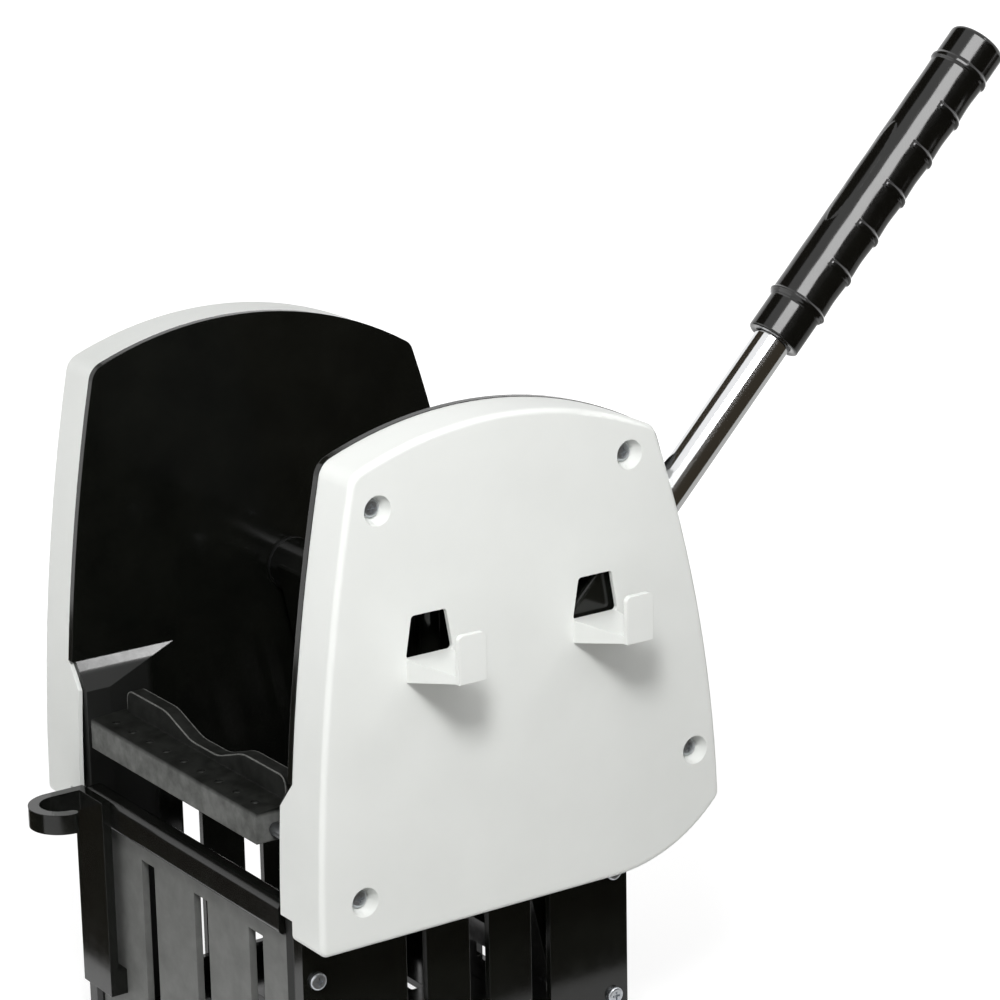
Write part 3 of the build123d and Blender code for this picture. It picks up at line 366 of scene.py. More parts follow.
# Moulded polypropylene, black: a polished mould leaves it glossy, with faint swirls in the sheen.
BLACK_POLYPROPYLENE = MouldedPlastic(
    name="black_polypropylene_gloss_moulded", light="#121310", dark="#0B0C0A",
    smooth=0.10, rough=0.18, grain_size=1.2, grain_height=0.005, tone_size=30.0, edge_radius=0.5,
    specular=0.45)
# The cheeks have the same gloss. Their guide pads are matt and a little darker up to near the
# crest: painted shade on the pads' slopes.
CHEEK_POLYPROPYLENE = MouldedPlastic(
    name="black_polypropylene_gloss_wall_rubbed_pad", light="#131411", dark="#0C0D0B",
    smooth=0.09, rough=0.15, grain_size=1.2, grain_height=0.004, tone_size=30.0, edge_radius=0.5,
    specular=0.4, zone=PaleZone(
        light="#0D0E0C", dark="#090A08", rough=0.66, full_below=107.2, gone_above=108.6,
        measure=Measure.FROM_MIDDLE))
# The strainer's rail has the same gloss. Below the rail its slats are matt and mid grey.
STRAINER_POLYPROPYLENE = MouldedPlastic(
    name="black_polypropylene_gloss_rail_matt_slats", light="#131412", dark="#0C0C0B",
    smooth=0.16, rough=0.26, grain_size=0.8, grain_height=0.004, tone_size=14.0, edge_radius=0.5,
    specular=0.4, zone=PaleZone(
        light="#6E6F6D", dark="#5D5E5C", rough=0.6, full_below=121.5, gone_above=123.5))
# Glass-filled nylon: glass fibres come to the surface and leave it matt. The top is painted dark as
# painted shade, the bar's front is painted paler as painted light, and the edges of its rim are
# rubbed.
FILLED_NYLON = MouldedPlastic(
    name="glass_filled_nylon_matt_moulded", light="#212220", dark="#0C0D0B",
    smooth=0.48, rough=0.64, grain_size=0.6, grain_height=0.03, tone_size=9.0, edge_radius=0.9,
    # Painted light and shade: below the top edge the front is paler, and above it the top is
    # darker.
    specular=0.1, zone=PaleZone(
        light="#6E6F6D", dark="#4E4F4D", rough=0.62, full_below=181.0, gone_above=183.0),
    wear=EdgeWear(
        colour="#7E7F7C", radius=1.7, share=0.9, none_below=185.0, full_above=188.0))
# Soft PVC, dip-smooth: a deep black with a wet-looking highlight.
GRIP_PVC = MouldedPlastic(
    name="black_pvc_gloss_moulded", light="#0D0D0B", dark="#080807",
    smooth=0.11, rough=0.17, grain_size=1.0, grain_height=0.002, tone_size=18.0, edge_radius=0.3,
    specular=0.55)
# Black acetal: machined, dense and a little waxy.
BLACK_ACETAL = MouldedPlastic(
    name="black_acetal_turned", light="#181818", dark="#101010",
    smooth=0.34, rough=0.46, grain_size=0.5, grain_height=0.01, tone_size=12.0, edge_radius=0.3,
    specular=0.35)
# Black rubber: dull, with the grey bloom that rubber gets.
BLACK_RUBBER = MouldedPlastic(
    name="black_rubber_moulded", light="#1C1C1C", dark="#121212",
    smooth=0.68, rough=0.85, grain_size=0.5, grain_height=0.02, tone_size=6.0, edge_radius=0.4)
# Bright chrome plate on a polished tube: a mirror with very fine lines along the tube.
CHROME_PLATE = WorkedMetal(
    name="bright_chrome_plate_polished", light="#EDEEEF", dark="#E4E5E7",
    smooth=0.08, rough=0.13, line_width=0.35, line_length=60.0, line_depth=0.0001, lay=Lay.LEVER)
# Zinc plate on cold-headed steel: bright but a little milky.
ZINC_PLATE = WorkedMetal(
    name="zinc_plated_steel_headed", light="#C9CCCF", dark="#A9ADB2",
    smooth=0.28, rough=0.42, line_width=0.5, line_length=0.9, line_depth=0.003, lay=Lay.ACROSS)
# Bright drawn steel bar: grey, with drawing lines along its length.
DRAWN_STEEL = WorkedMetal(
    name="bright_drawn_steel", light="#A6A8AA", dark="#85888B",
    smooth=0.24, rough=0.38, line_width=0.25, line_length=25.0, line_depth=0.002, lay=Lay.ACROSS)
# Patented spring wire: drawn, darker and a little oily.
SPRING_WIRE = WorkedMetal(
    name="spring_steel_wire_drawn", light="#8E9093", dark="#6C6F73",
    smooth=0.22, rough=0.36, line_width=0.2, line_length=6.0, line_depth=0.002, lay=Lay.UPRIGHT)


class FinishRack:
    """Holds each finish's material once, made when it is first asked for."""

    def __init__(self) -> None:
        """Start with an empty rack."""
        self.made: dict[str, bpy.types.Material] = {}

    def get(self, finish: Finish) -> bpy.types.Material:
        """Give the material of a finish.

        Args:
            finish: The finish.

        Returns:
            Its material, shared by all pieces with that finish.
        """
        if finish.name not in self.made:
            self.made[finish.name] = finish.material()
        return self.made[finish.name]

    def dress(self, names: tuple[str, ...], finish: Finish) -> None:
        """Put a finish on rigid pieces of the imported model.

        Args:
            names: Names of the nodes.
            finish: The finish that they get.
        """
        for name in names:
            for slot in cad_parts[name].material_slots:
                slot.material = self.get(finish)
            LOG.info("%s: %s", name, finish.name)


def closed_surface(name: str, points: np.ndarray) -> bpy.types.Object:
    """Make a closed mesh object from a grid of points.

    Rows run along the surface and columns go round it. All points of the first row are one pole,
    and so are those of the last row. A cell between two other rows becomes a quad, and a cell at
    a pole becomes a triangle.

    Args:
        name: Name of the object.
        points: Array of rows by columns by three, in metres.

    Returns:
        The object, smooth shaded, at the origin.
    """
    rows, columns = points.shape[:2]
    inner = (rows - 2) * columns
    index = 1 + np.arange(inner).reshape(rows - 2, columns)
    following = np.roll(index, -1, axis=1)
    first = np.stack([np.zeros(columns, dtype=int), following[0], index[0]], axis=-1)
    middle = np.stack([index[:-1], following[:-1], following[1:], index[1:]], axis=-1)
    last = np.stack([np.full(columns, inner + 1), index[-1], following[-1]], axis=-1)
    places = np.concatenate([points[0, :1], points[1:-1].reshape(-1, 3), points[-1, :1]])
    faces = first.tolist() + middle.reshape(-1, 4).tolist() + last.tolist()
    mesh = bpy.data.meshes.new(name)
    mesh.from_pydata(places.tolist(), [], faces)
    mesh.polygons.foreach_set("use_smooth", np.ones(len(mesh.polygons), dtype=bool))
    mesh.update()
    thing = bpy.data.objects.new(name, mesh)
    bpy.context.scene.collection.objects.link(thing)
    return thing


def smooth_step(low: float, high: float, value: np.ndarray) -> np.ndarray:
    """Rise from zero at low to one at high, level at both ends."""
    part = np.clip((value - low) / (high - low), 0.0, 1.0)
    return part * part * (3.0 - 2.0 * part)


@dataclass
class SideCovers:
    """The two white side covers with their screws."""

    covers: tuple[str, ...] = ("cover_right", "cover_left")
    screws: tuple[str, ...] = ("cover_screws_right", "cover_screws_left")

    def dress(self, rack: FinishRack) -> None:
        """Give the covers and their screws their finishes."""
        rack.dress(self.covers, WHITE_POLYPROPYLENE)
        rack.dress(self.screws, ZINC_PLATE)


@dataclass
class Hopper:
    """The black hopper: cheeks, slotted panels, floor and the screws between them."""

    cheeks: tuple[str, ...] = ("liner_right", "liner_left")
    panels: tuple[str, ...] = ("rear_panel", "floor_grid")
    strainer: tuple[str, ...] = ("front_strainer",)
    screws: tuple[str, ...] = ("frame_screws_right", "frame_screws_left")

    def dress(self, rack: FinishRack) -> None:
        """Give the walls and their screws their finishes.

        Args:
            rack: The finishes.
        """
        rack.dress(self.cheeks, CHEEK_POLYPROPYLENE)
        rack.dress(self.panels, BLACK_POLYPROPYLENE)
        rack.dress(self.strainer, STRAINER_POLYPROPYLENE)
        rack.dress(self.screws, ZINC_PLATE)


@dataclass
class FrontJaw:
    """The fixed press bar on its two rods, and the mop-handle hook on the rail."""

    bar: tuple[str, ...] = ("front_jaw",)
    rods: tuple[str, ...] = ("front_jaw_rods", "rod_clips")
    hook: tuple[str, ...] = ("mop_handle_hook",)
    screws: tuple[str, ...] = ("hook_screws",)

    def dress(self, rack: FinishRack) -> None:
        """Give the bar, its rods and the hook their finishes.

        Args:
            rack: The finishes.
        """
        rack.dress(self.bar, FILLED_NYLON)
        rack.dress(self.rods, DRAWN_STEEL)
        rack.dress(self.hook, BLACK_POLYPROPYLENE)
        rack.dress(self.screws, ZINC_PLATE)


@dataclass
class PressMechanism:
    """The shaft with its bushes, keys and clips, the moving jaw and the spring crank."""

    bushes: tuple[str, ...] = ("shaft_bush_right", "shaft_bush_left")
    shaft: tuple[str, ...] = ("cross_shaft", "arm_key", "crank_key", "shaft_clips")
    jaw: tuple[str, ...] = ("press_jaw",)
    bolts: tuple[str, ...] = ("jaw_bolts", "jaw_nuts")
    crank: tuple[str, ...] = ("spring_crank", "crank_pin", "spring_anchor_peg")
    bumper: tuple[str, ...] = ("stop_bumper",)

    def dress(self, rack: FinishRack) -> None:
        """Give every piece on and around the shaft its finish.

        Args:
            rack: The finishes.
        """
        rack.dress(self.bushes, BLACK_ACETAL)
        rack.dress(self.shaft, DRAWN_STEEL)
        rack.dress(self.jaw, BLACK_POLYPROPYLENE)
        rack.dress(self.bolts, ZINC_PLATE)
        rack.dress(self.crank, DRAWN_STEEL)
        rack.dress(self.bumper, BLACK_RUBBER)


@dataclass
class Lever:
    """The lever: black arm, chrome tube, pins and the moulded grip.

    Sizes are in millimetres and angles in degrees. Stations run along the grip from its mouth.
    """

    arm: tuple[str, ...] = ("lever_arm",)
    tube: tuple[str, ...] = ("lever_tube",)
    pins: tuple[str, ...] = ("tube_pins",)
    # Lever axis: a point on the shaft's axis, and the slope
    axis_x: float = 129.0
    shaft_y: float = 37.0
    shaft_z: float = 236.5
    angle: float = LEVER_ANGLE
    # Plain grip: a collar, a body and a rounded end, on a blind bore. The shares are of the bore's
    # radius and depth at the corner of its bottom, and of the grip's radius on its flat end.
    grip_start: float = 211.5
    grip_length: float = 194.0
    grip_radius: float = 15.4
    collar_radius: float = 14.4
    collar_step: float = 1.0
    mouth_radius: float = 1.0
    mouth_flare: float = 0.6
    bore_radius: float = 10.05
    bore_depth: float = 188.8
    corner_radius_share: float = 0.98
    corner_depth_share: float = 0.99
    end_radius: float = 3.0
    end_flat_share: float = 0.4
    # Rings and finger hollows. The rings fade out over a span of the cosine of their end's angle.
    ring_first: float = 22.0
    ring_pitch: float = 25.4
    ring_count: int = 7
    ring_half: float = 1.7
    ring_height: float = 1.0
    ring_power: int = 4
    ring_end: float = 122.0
    ring_fade: float = 0.05
    hollow_depth: float = 0.5
    hollow_power: float = 0.7
    # Bare oval pad on top. Its rim is the share of the oval over which it rises.
    pad_station: float = 98.0
    pad_length: float = 66.0
    pad_turn: float = 44.0
    pad_height: float = 0.3
    pad_rim: float = 0.12
    # Fineness of the mesh
    mouth_rows: int = 7
    body_rows: int = 620
    end_rows: int = 13
    columns: int = 144

    def grip_profile(self) -> tuple[np.ndarray, np.ndarray, np.ndarray]:
        """Work out the plain profile of the grip from the bottom of its bore to its end.

        The profile runs from the axis at the bottom of the bore, along the bore to the mouth,
        over the collar and the body, round the end and back to the axis.

        Returns:
            Stations along the lever, radii, and a weight that is one where the outside is.
        """
        depth, hole = self.bore_depth, self.bore_radius
        bore = np.array([
            [depth, 0.0], [depth, hole * self.corner_radius_share],
            [depth * self.corner_depth_share, hole], [self.mouth_radius, hole],
            [0.0, hole + self.mouth_flare]])
        turn = np.linspace(0.0, math.pi / 2, self.mouth_rows)
        mouth = np.stack([self.mouth_radius * (1.0 - np.cos(turn)),
                          self.collar_radius - self.mouth_radius * (1.0 - np.sin(turn))], axis=1)
        centre = self.grip_length - self.end_radius
        length = np.linspace(self.mouth_radius, centre, self.body_rows)[1:]
        step = smooth_step(self.ring_first - self.collar_step, self.ring_first + self.collar_step,
                           length)
        radius = self.collar_radius + (self.grip_radius - self.collar_radius) * step
        body = np.stack([length, radius], axis=1)
        round_off = np.linspace(0.0, math.pi / 2, self.end_rows)[1:]
        end = np.stack([centre + self.end_radius * np.sin(round_off),
                        self.grip_radius - self.end_radius * (1.0 - np.cos(round_off))], axis=1)
        cap = np.array([[self.grip_length, self.grip_radius * self.end_flat_share],
                        [self.grip_length, 0.0]])
        rows = np.concatenate([bore, mouth, body, end, cap])
        weight = np.concatenate([np.zeros(len(bore) + len(mouth)), np.ones(len(body)),
                                 np.zeros(len(end) + len(cap))])
        return rows[:, 0], rows[:, 1], weight

    def grip_relief(self, station: np.ndarray, turn: np.ndarray) -> np.ndarray:
        """Work out how far the grip stands proud of its plain profile.

        Seven flat-topped rings stand at a fixed pitch. The first and the last go all round, and
        the others end at a set angle from the underside. Between two rings the underside is
        hollowed by a squared sine that fades towards the top. A bare oval pad stands on top.

        Args:
            station: Stations along the grip, as a column.
            turn: Angles from the underside, as a row, in radians.

        Returns:
            Heights, one for each station and angle.
        """
        low = np.cos(math.radians(self.ring_end))
        below = smooth_step(low - self.ring_fade, low + self.ring_fade, np.cos(turn))
        count = (station - self.ring_first) / self.ring_pitch
        nearest = np.clip(np.round(count), 0, self.ring_count - 1)
        off = (station - self.ring_first - nearest * self.ring_pitch) / self.ring_half
        ring = np.exp(-off ** self.ring_power)
        outer = (nearest == 0) | (nearest == self.ring_count - 1)
        height = self.ring_height * ring * np.where(outer, 1.0, below)
        between = (count > 0) & (count < self.ring_count - 1)
        wave = np.where(between, np.sin(math.pi * count) ** 2, 0.0)
        hollow = self.hollow_depth * wave * (0.5 + 0.5 * np.cos(turn)) ** self.hollow_power
        side = (np.abs(turn) - math.pi) / math.radians(self.pad_turn / 2)
        away = ((station - self.pad_station) / (self.pad_length / 2)) ** 2 + side ** 2
        pad = self.pad_height * smooth_step(0.0, self.pad_rim, 1.0 - away)
        return height - hollow + pad

    def grip(self, rack: FinishRack) -> bpy.types.Object:
        """Build the grip as one closed surface about the lever axis.

        A point lies at its station along the lever axis, and at the profile's radius plus the
        relief in the direction of its angle. The angle starts at the underside.

        Args:
            rack: The finishes.

        Returns:
            The grip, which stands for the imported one.
        """
        station, radius, weight = (values[:, None] for values in self.grip_profile())
        turn = np.linspace(-math.pi, math.pi, self.columns, endpoint=False)[None, :]
        radius = radius + weight * self.grip_relief(station, turn)
        slope = math.radians(self.angle)
        axis = np.array([0.0, math.cos(slope), math.sin(slope)])
        below = np.array([0.0, math.sin(slope), -math.cos(slope)])
        across = np.array([1.0, 0.0, 0.0])
        root = np.array([self.axis_x, self.shaft_y, self.shaft_z])
        ray = np.cos(turn)[..., None] * below + np.sin(turn)[..., None] * across
        points = root + (self.grip_start + station)[..., None] * axis + radius[..., None] * ray
        grip = closed_surface("grip_moulding", points * MM)
        grip.data.materials.append(rack.get(GRIP_PVC))
        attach(grip, "lever")
        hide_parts("lever_grip")
        LOG.info("%s: %s", grip.name, GRIP_PVC.name)
        return grip

    def dress(self, rack: FinishRack) -> None:
        """Give the arm, the tube and the pins their finishes, and build the grip.

        Args:
            rack: The finishes.
        """
        rack.dress(self.arm, BLACK_POLYPROPYLENE)
        rack.dress(self.tube, CHROME_PLATE)
        rack.dress(self.pins, DRAWN_STEEL)
        self.grip(rack)


@dataclass
class ReturnSpring:
    """The coil spring that lifts the lever. Sizes in millimetres."""

    centre_x: float = -133.5
    centre_y: float = 0.04
    lower_peg: float = 149.0
    upper_peg: float = 221.19
    coil_radius: float = 5.1
    wire_radius: float = 0.6
    hook_radius: float = 3.9
    turns: int = 12
    pitch: float = 4.3
    # How far from the pegs the stretch starts and ends
    stretch_margin: float = 5.0
    # Length of a direction, as a share of the distance between two stations
    direction_share: float = 1.1
    # Sideways shift of the line that the wire's first axis points away from
    outward_shift: float = 8.0
    samples: int = 8
    columns: int = 12

    def stations(self) -> tuple[np.ndarray, np.ndarray]:
        """Work out points and directions along the wire.

        A hook goes half round the lower peg, the coil climbs by one pitch each turn, and a hook
        goes half round the upper peg. The coil has a point at each quarter turn.

        Returns:
            Points, and unit directions of the wire at them.
        """
        length = self.upper_peg - self.lower_peg
        quarter = np.arange(4 * self.turns + 1)
        angle = (quarter + 1) * math.pi / 2
        rise = (length - self.turns * self.pitch) / 2 + quarter * self.pitch / 4
        slope = np.full(len(quarter), self.pitch / (2 * math.pi * self.coil_radius))
        radius = self.coil_radius
        coil = np.stack([radius * np.cos(angle), radius * np.sin(angle), rise], axis=1)
        heading = np.stack([-np.sin(angle), np.cos(angle), slope], axis=1)
        hook = self.hook_radius
        lower = np.array([[0.0, -hook, 0.0], [0.0, 0.0, -hook], [0.0, hook, 0.0]])
        lower_way = np.array([[0.0, 0.0, -1.0], [0.0, 1.0, 0.0], [0.0, 0.0, 1.0]])
        upper = np.array([[0.0, hook, length], [0.0, 0.0, length + hook], [0.0, -hook, length]])
        upper_way = np.array([[0.0, 0.0, 1.0], [0.0, -1.0, 0.0], [0.0, 0.0, -1.0]])
        points = np.concatenate([lower, coil, upper])
        ways = np.concatenate([lower_way, heading, upper_way])
        return points, ways / np.linalg.norm(ways, axis=1, keepdims=True)

    def centre_line(self) -> np.ndarray:
        """Join the stations by cubic Hermite curves.

        Between two stations the curve is the cubic that has their places and directions. The
        length of each direction is a fixed share of the distance between the two stations.

        Returns:
            Points along the wire.
        """
        points, ways = self.stations()
        part = np.linspace(0.0, 1.0, self.samples, endpoint=False)[None, :, None]
        chord = np.linalg.norm(points[1:] - points[:-1], axis=1)[:, None, None]
        reach = self.direction_share * chord
        start, end = points[:-1, None, :], points[1:, None, :]
        curve = ((2 * part ** 3 - 3 * part ** 2 + 1) * start
                 + (part ** 3 - 2 * part ** 2 + part) * reach * ways[:-1, None, :]
                 + (3 * part ** 2 - 2 * part ** 3) * end
                 + (part ** 3 - part ** 2) * reach * ways[1:, None, :])
        return np.concatenate([curve.reshape(-1, 3), points[-1:]])

    def build(self, rack: FinishRack) -> bpy.types.Object:
        """Carry a circle along the wire's centre line.

        The circle stands square to the line. Its first axis points away from an upright line
        beside the spring, made square to the wire, so it turns with the coil and never flips.

        Args:
            rack: The finishes.

        Returns:
            The spring, with its upper hook on the crank pin.
        """
        line = self.centre_line()
        tangent = np.gradient(line, axis=0)
        tangent /= np.linalg.norm(tangent, axis=1, keepdims=True)
        outward = line * np.array([1.0, 1.0, 0.0]) + np.array([self.outward_shift, 0.0, 0.0])
        outward -= np.sum(outward * tangent, axis=1, keepdims=True) * tangent
        outward /= np.linalg.norm(outward, axis=1, keepdims=True)
        sideways = np.cross(tangent, outward)
        turn = np.linspace(0.0, 2 * math.pi, self.columns, endpoint=False)[None, :, None]
        ring = np.cos(turn) * outward[:, None, :] + np.sin(turn) * sideways[:, None, :]
        wall = line[:, None, :] + self.wire_radius * ring
        first = np.repeat(line[None, :1], self.columns, axis=1)
        last = np.repeat(line[None, -1:], self.columns, axis=1)
        points = np.concatenate([first, wall, last])
        points += np.array([self.centre_x, self.centre_y, self.lower_peg])
        spring = closed_surface("return_spring_wire", points * MM)
        spring.data.materials.append(rack.get(SPRING_WIRE))
        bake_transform(spring)
        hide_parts("return_spring")
        LOG.info("%s: %s", spring.name, SPRING_WIRE.name)
        return spring


def flat_sheet(name: str, corner: Triple, first: Triple, second: Triple) -> bpy.types.Object:
    """Make a flat sheet: its corner plus parts of its two sides, on a square grid.

    Args:
        name: Name of the object.
        corner: One corner.
        first: Vector along one side.
        second: Vector along the other side.

    Returns:
        The sheet, marked as part of the stage.
    """
    part = np.linspace(0.0, 1.0, SHEET_POINTS)
    along, across = np.meshgrid(part, part, indexing="ij")
    points = (np.array(corner) + along[..., None] * np.array(first)
              + across[..., None] * np.array(second))
    index = np.arange(SHEET_POINTS ** 2).reshape(SHEET_POINTS, SHEET_POINTS)
    quads = np.stack([index[:-1, :-1], index[1:, :-1], index[1:, 1:], index[:-1, 1:]], axis=-1)
    mesh = bpy.data.meshes.new(name)
    mesh.from_pydata(points.reshape(-1, 3).tolist(), [], quads.reshape(-1, 4).tolist())
    sheet = bpy.data.objects.new(name, mesh)
    bpy.context.scene.collection.objects.link(sheet)
    return sheet


def seen_directly(tree: Tree) -> Socket:
    """Tell camera, mirror and glass rays from the rest.

    Args:
        tree: Node tree of the floor or the world.

    Returns:
        A socket that is one for those rays.
    """
    path = add_node(tree, "ShaderNodeLightPath")
    either = add_node(tree, "ShaderNodeMath", {"operation": "MAXIMUM"}, {
        0: path.outputs["Is Camera Ray"], 1: path.outputs["Is Glossy Ray"]})
    return add_node(tree, "ShaderNodeMath", {"operation": "MAXIMUM"}, {
        0: either.outputs[0], 1: path.outputs["Is Transmission Ray"]}).outputs[0]


@dataclass(frozen=True)
class Softbox:
    """A flat lamp that faces a point. It lights the object but shows in no reflection.

    Lengths are in metres. The width runs along a given direction, made square to the line to the
    target.
    """

    name: str
    place: Triple
    target: Triple
    across: Triple
    size: tuple[float, float]
    watts: float

    def hang(self) -> None:
        """Hang the lamp."""
        data = bpy.data.lights.new(self.name, "AREA")
        data.shape = "RECTANGLE"
        data.size, data.size_y = self.size
        data.energy = self.watts
        lamp = bpy.data.objects.new(self.name, data)
        facing = (Vector(self.place) - Vector(self.target)).normalized()
        side = (Vector(self.across) - Vector(self.across).dot(facing) * facing).normalized()
        turn = Matrix((side, facing.cross(side), facing)).transposed()
        lamp.matrix_world = Matrix.Translation(self.place) @ turn.to_4x4()
        lamp.visible_camera = False
        lamp.visible_glossy = False
        bpy.context.scene.collection.objects.link(lamp)


@dataclass(frozen=True)
class FarLamp:
    """A broad lamp so far away that its light is even.

    The source is the direction that the light comes from, the strength is the light on a surface
    that faces it, in watts per square metre, and the spread is its width in degrees.
    """

    name: str
    source: Triple
    strength: float
    spread: float

    def hang(self) -> None:
        """Hang the lamp."""
        data = bpy.data.lights.new(self.name, "SUN")
        data.energy = self.strength
        data.angle = math.radians(self.spread)
        lamp = bpy.data.objects.new(self.name, data)
        lamp.rotation_euler = Vector(self.source).to_track_quat("Z", "Y").to_euler()
        bpy.context.scene.collection.objects.link(lamp)


class CardFace(Enum):
    """What a reflection of a card shows: colour and strength."""

    DARK_FELT = ("#37322A", 1.0)
    GREY_BOARD = ("#B8B8B6", 1.0)
    LIT_ACRYLIC = ("#FFFFFF", 10.0)


@dataclass(frozen=True)
class Card:
    """A card that the camera doesn't see, for chrome and black gloss to reflect.

    It goes from a corner along two sides, in metres. One that soaks also takes up light that
    would bounce on to the object.
    """

    name: str
    corner: Triple
    first: Triple
    second: Triple
    face: CardFace = CardFace.DARK_FELT
    soaks: bool = False

    def stand(self) -> None:
        """Stand the card."""
        card = flat_sheet(self.name, self.corner, self.first, self.second)
        material, tree = empty_material(f"{self.name}_{self.face.name.lower()}")
        code, strength = self.face.value
        glow = add_node(tree, "ShaderNodeEmission", None, {
            "Color": linear_colour(code), "Strength": strength})
        add_node(tree, "ShaderNodeOutputMaterial", None, {"Surface": glow.outputs[0]})
        card.data.materials.append(material)
        card.visible_camera = False
        card.visible_diffuse = self.soaks
        card.visible_shadow = False
        card.visible_transmission = False


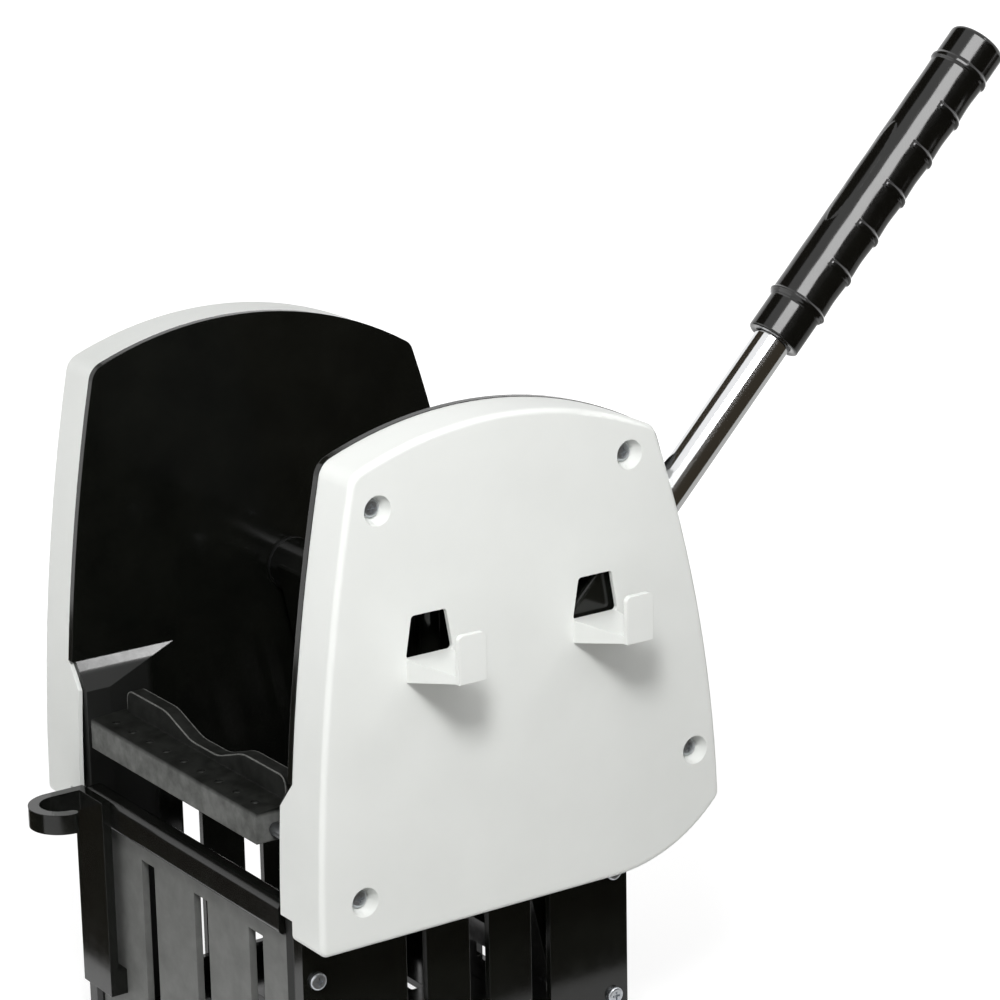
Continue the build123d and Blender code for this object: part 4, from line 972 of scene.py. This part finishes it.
@dataclass
class Studio:
    """Pale floor, soft light, cards for chrome and gloss to reflect, and the camera. In metres."""

    ambient: float = 0.27
    # Floor: its size, the size of its paper's fibres, and the white light that it shows
    floor_half: float = 14.0
    fibre_size: float = 0.025
    floor_light: str = "#FCFCFB"
    floor_dark: str = "#F8F8F7"
    floor_glow: float = 1.27
    near_share: float = 0.65
    near_distance: float = 0.45
    far_distance: float = 1.0
    # Camera: its place and directions, and its focal length in pixels of the picture
    eye: Triple = (1.5478, -0.9384, 0.8403)
    forward: Triple = (-0.79571, 0.5348, -0.28431)
    up: Triple = (-0.22511, 0.17464, 0.95855)
    focal_pixels: float = 3635.5
    picture_pixels: float = 1000.0
    sensor_mm: float = 36.0
    far_clip: float = 100.0
    softboxes: tuple[Softbox, ...] = (
        Softbox(name="key_box", place=(0.776, -0.261, 1.174), target=(0.129, 0.23, 0.43),
                across=(0.8, 0.43, -0.42), size=(0.8, 0.42), watts=2.4),
        Softbox(name="side_box", place=(0.8, -0.47, 0.98), target=(0.144, 0.0, 0.25),
                across=(0.0, 1.0, 0.0), size=(0.2, 0.2), watts=8.6),
        Softbox(name="fill_box", place=(1.0, -0.15, 0.14), target=(0.144, 0.0, 0.16),
                across=(0.0, 1.0, 0.0), size=(0.9, 0.24), watts=1.3),
        Softbox(name="far_box", place=(-1.1, 0.1, 0.4), target=(-0.14, 0.0, 0.25),
                across=(0.0, 1.0, 0.0), size=(0.6, 0.4), watts=3.6),
    )
    far_lamps: tuple[FarLamp, ...] = (
        FarLamp(name="front_light", source=(-0.35, -0.88, 0.32), strength=0.7, spread=60.0),
        FarLamp(name="back_light", source=(0.485, 0.475, 0.733), strength=0.22, spread=7.0),
    )
    cards: tuple[Card, ...] = (
        Card(name="strip_card", corner=(0.629, -0.508, 1.423), first=(1.08, 0.58, -0.567),
             second=(-0.085, 0.467, 0.317), face=CardFace.LIT_ACRYLIC),
        Card(name="roof_card", corner=(-2.1, -0.8, 1.5), first=(1.8, 0.0, 0.0),
             second=(0.0, 1.2, 0.0)),
        Card(name="side_card", corner=(1.3, -0.2, 0.02), first=(0.0, 1.95, 0.0),
             second=(0.0, 0.0, 1.2)),
        Card(name="rear_card", corner=(0.42, 0.42, 0.003), first=(1.1, 0.0, 0.0),
             second=(0.0, 1.3, 0.0), soaks=True),
        Card(name="tail_card", corner=(-0.4, 0.5, 0.003), first=(0.82, 0.0, 0.0),
             second=(0.0, 1.2, 0.0), face=CardFace.GREY_BOARD),
        Card(name="floor_card", corner=(0.22, -0.75, 0.003), first=(1.3, 0.0, 0.0),
             second=(0.0, 1.17, 0.0), soaks=True),
        Card(name="front_card", corner=(-1.0, -0.95, 0.003), first=(0.9, 0.0, 0.0),
             second=(0.0, 0.8, 0.0)),
    )

    def floor(self) -> None:
        """Lay a pale floor.

        What is seen of it is part white light, part its own shaded colour. The share of white
        light grows away from the object, so that the floor meets the background without a line.
        """
        half = self.floor_half
        floor = flat_sheet("floor", (-half, -half, 0.0), (2 * half, 0.0, 0.0), (0.0, 2 * half, 0.0))
        material, tree = empty_material("white_paper_floor")
        place = add_node(tree, "ShaderNodeTexCoord").outputs["Object"]
        fibre = add_node(tree, "ShaderNodeTexNoise", None, {
            "Vector": place, "Scale": 1.0 / self.fibre_size, "Detail": 4.0})
        colour = add_node(tree, "ShaderNodeMix", {"data_type": "RGBA"}, {
            0: fibre.outputs[0], FIRST_COLOUR: linear_colour(self.floor_dark),
            SECOND_COLOUR: linear_colour(self.floor_light)})
        paper = add_node(tree, "ShaderNodeBsdfDiffuse", None, {
            "Color": colour.outputs[MIXED_COLOUR]})
        glow = add_node(tree, "ShaderNodeEmission", None, {"Strength": self.floor_glow})
        away = add_node(tree, "ShaderNodeVectorMath", {"operation": "LENGTH"}, {0: place})
        share = add_node(tree, "ShaderNodeMapRange", None, {
            "Value": away.outputs["Value"], "From Min": self.near_distance,
            "From Max": self.far_distance, "To Min": self.near_share, "To Max": 1.0})
        part = add_node(tree, "ShaderNodeMath", {"operation": "MULTIPLY"}, {
            0: seen_directly(tree), 1: share.outputs[0]})
        mix = add_node(tree, "ShaderNodeMixShader", None, {
            0: part.outputs[0], 1: paper.outputs[0], 2: glow.outputs[0]})
        add_node(tree, "ShaderNodeOutputMaterial", None, {"Surface": mix.outputs[0]})
        floor.data.materials.append(material)

    def surroundings(self) -> None:
        """Make the world white where it is seen and soft where it lights the object."""
        world = bpy.data.worlds.new("studio")
        bpy.context.scene.world = world
        world.use_nodes = True
        tree = world.node_tree
        tree.nodes.clear()
        strength = add_node(tree, "ShaderNodeMapRange", None, {
            "Value": seen_directly(tree), "To Min": self.ambient, "To Max": 1.0})
        white = add_node(tree, "ShaderNodeBackground", None, {
            "Color": (1.0, 1.0, 1.0, 1.0), "Strength": strength.outputs[0]})
        add_node(tree, "ShaderNodeOutputWorld", None, {"Surface": white.outputs[0]})

    def camera(self) -> None:
        """Place the camera at the photograph's viewing angle."""
        data = bpy.data.cameras.new("camera")
        data.sensor_width = self.sensor_mm
        data.lens = self.focal_pixels * self.sensor_mm / self.picture_pixels
        data.clip_end = self.far_clip
        view = Vector(self.forward).normalized()
        right = view.cross(Vector(self.up)).normalized()
        up = right.cross(view)
        turn = Matrix((right, up, -view)).transposed()
        camera = bpy.data.objects.new("camera", data)
        camera.matrix_world = Matrix.Translation(self.eye) @ turn.to_4x4()
        bpy.context.scene.collection.objects.link(camera)
        bpy.context.scene.camera = camera

    def build(self) -> None:
        """Set up the whole studio."""
        bpy.context.scene.view_settings.view_transform = "Standard"
        self.floor()
        self.surroundings()
        for lamp in self.softboxes + self.far_lamps:
            lamp.hang()
        for card in self.cards:
            card.stand()
        self.camera()


def main() -> None:
    """Dress the pieces in order and set up the studio."""
    logging.basicConfig(level=logging.INFO, format="%(name)s %(message)s")
    rack = FinishRack()
    SideCovers().dress(rack)
    Hopper().dress(rack)
    FrontJaw().dress(rack)
    PressMechanism().dress(rack)
    Lever().dress(rack)
    ReturnSpring().build(rack)
    Studio().build()


if __name__ == "__main__":
    main()
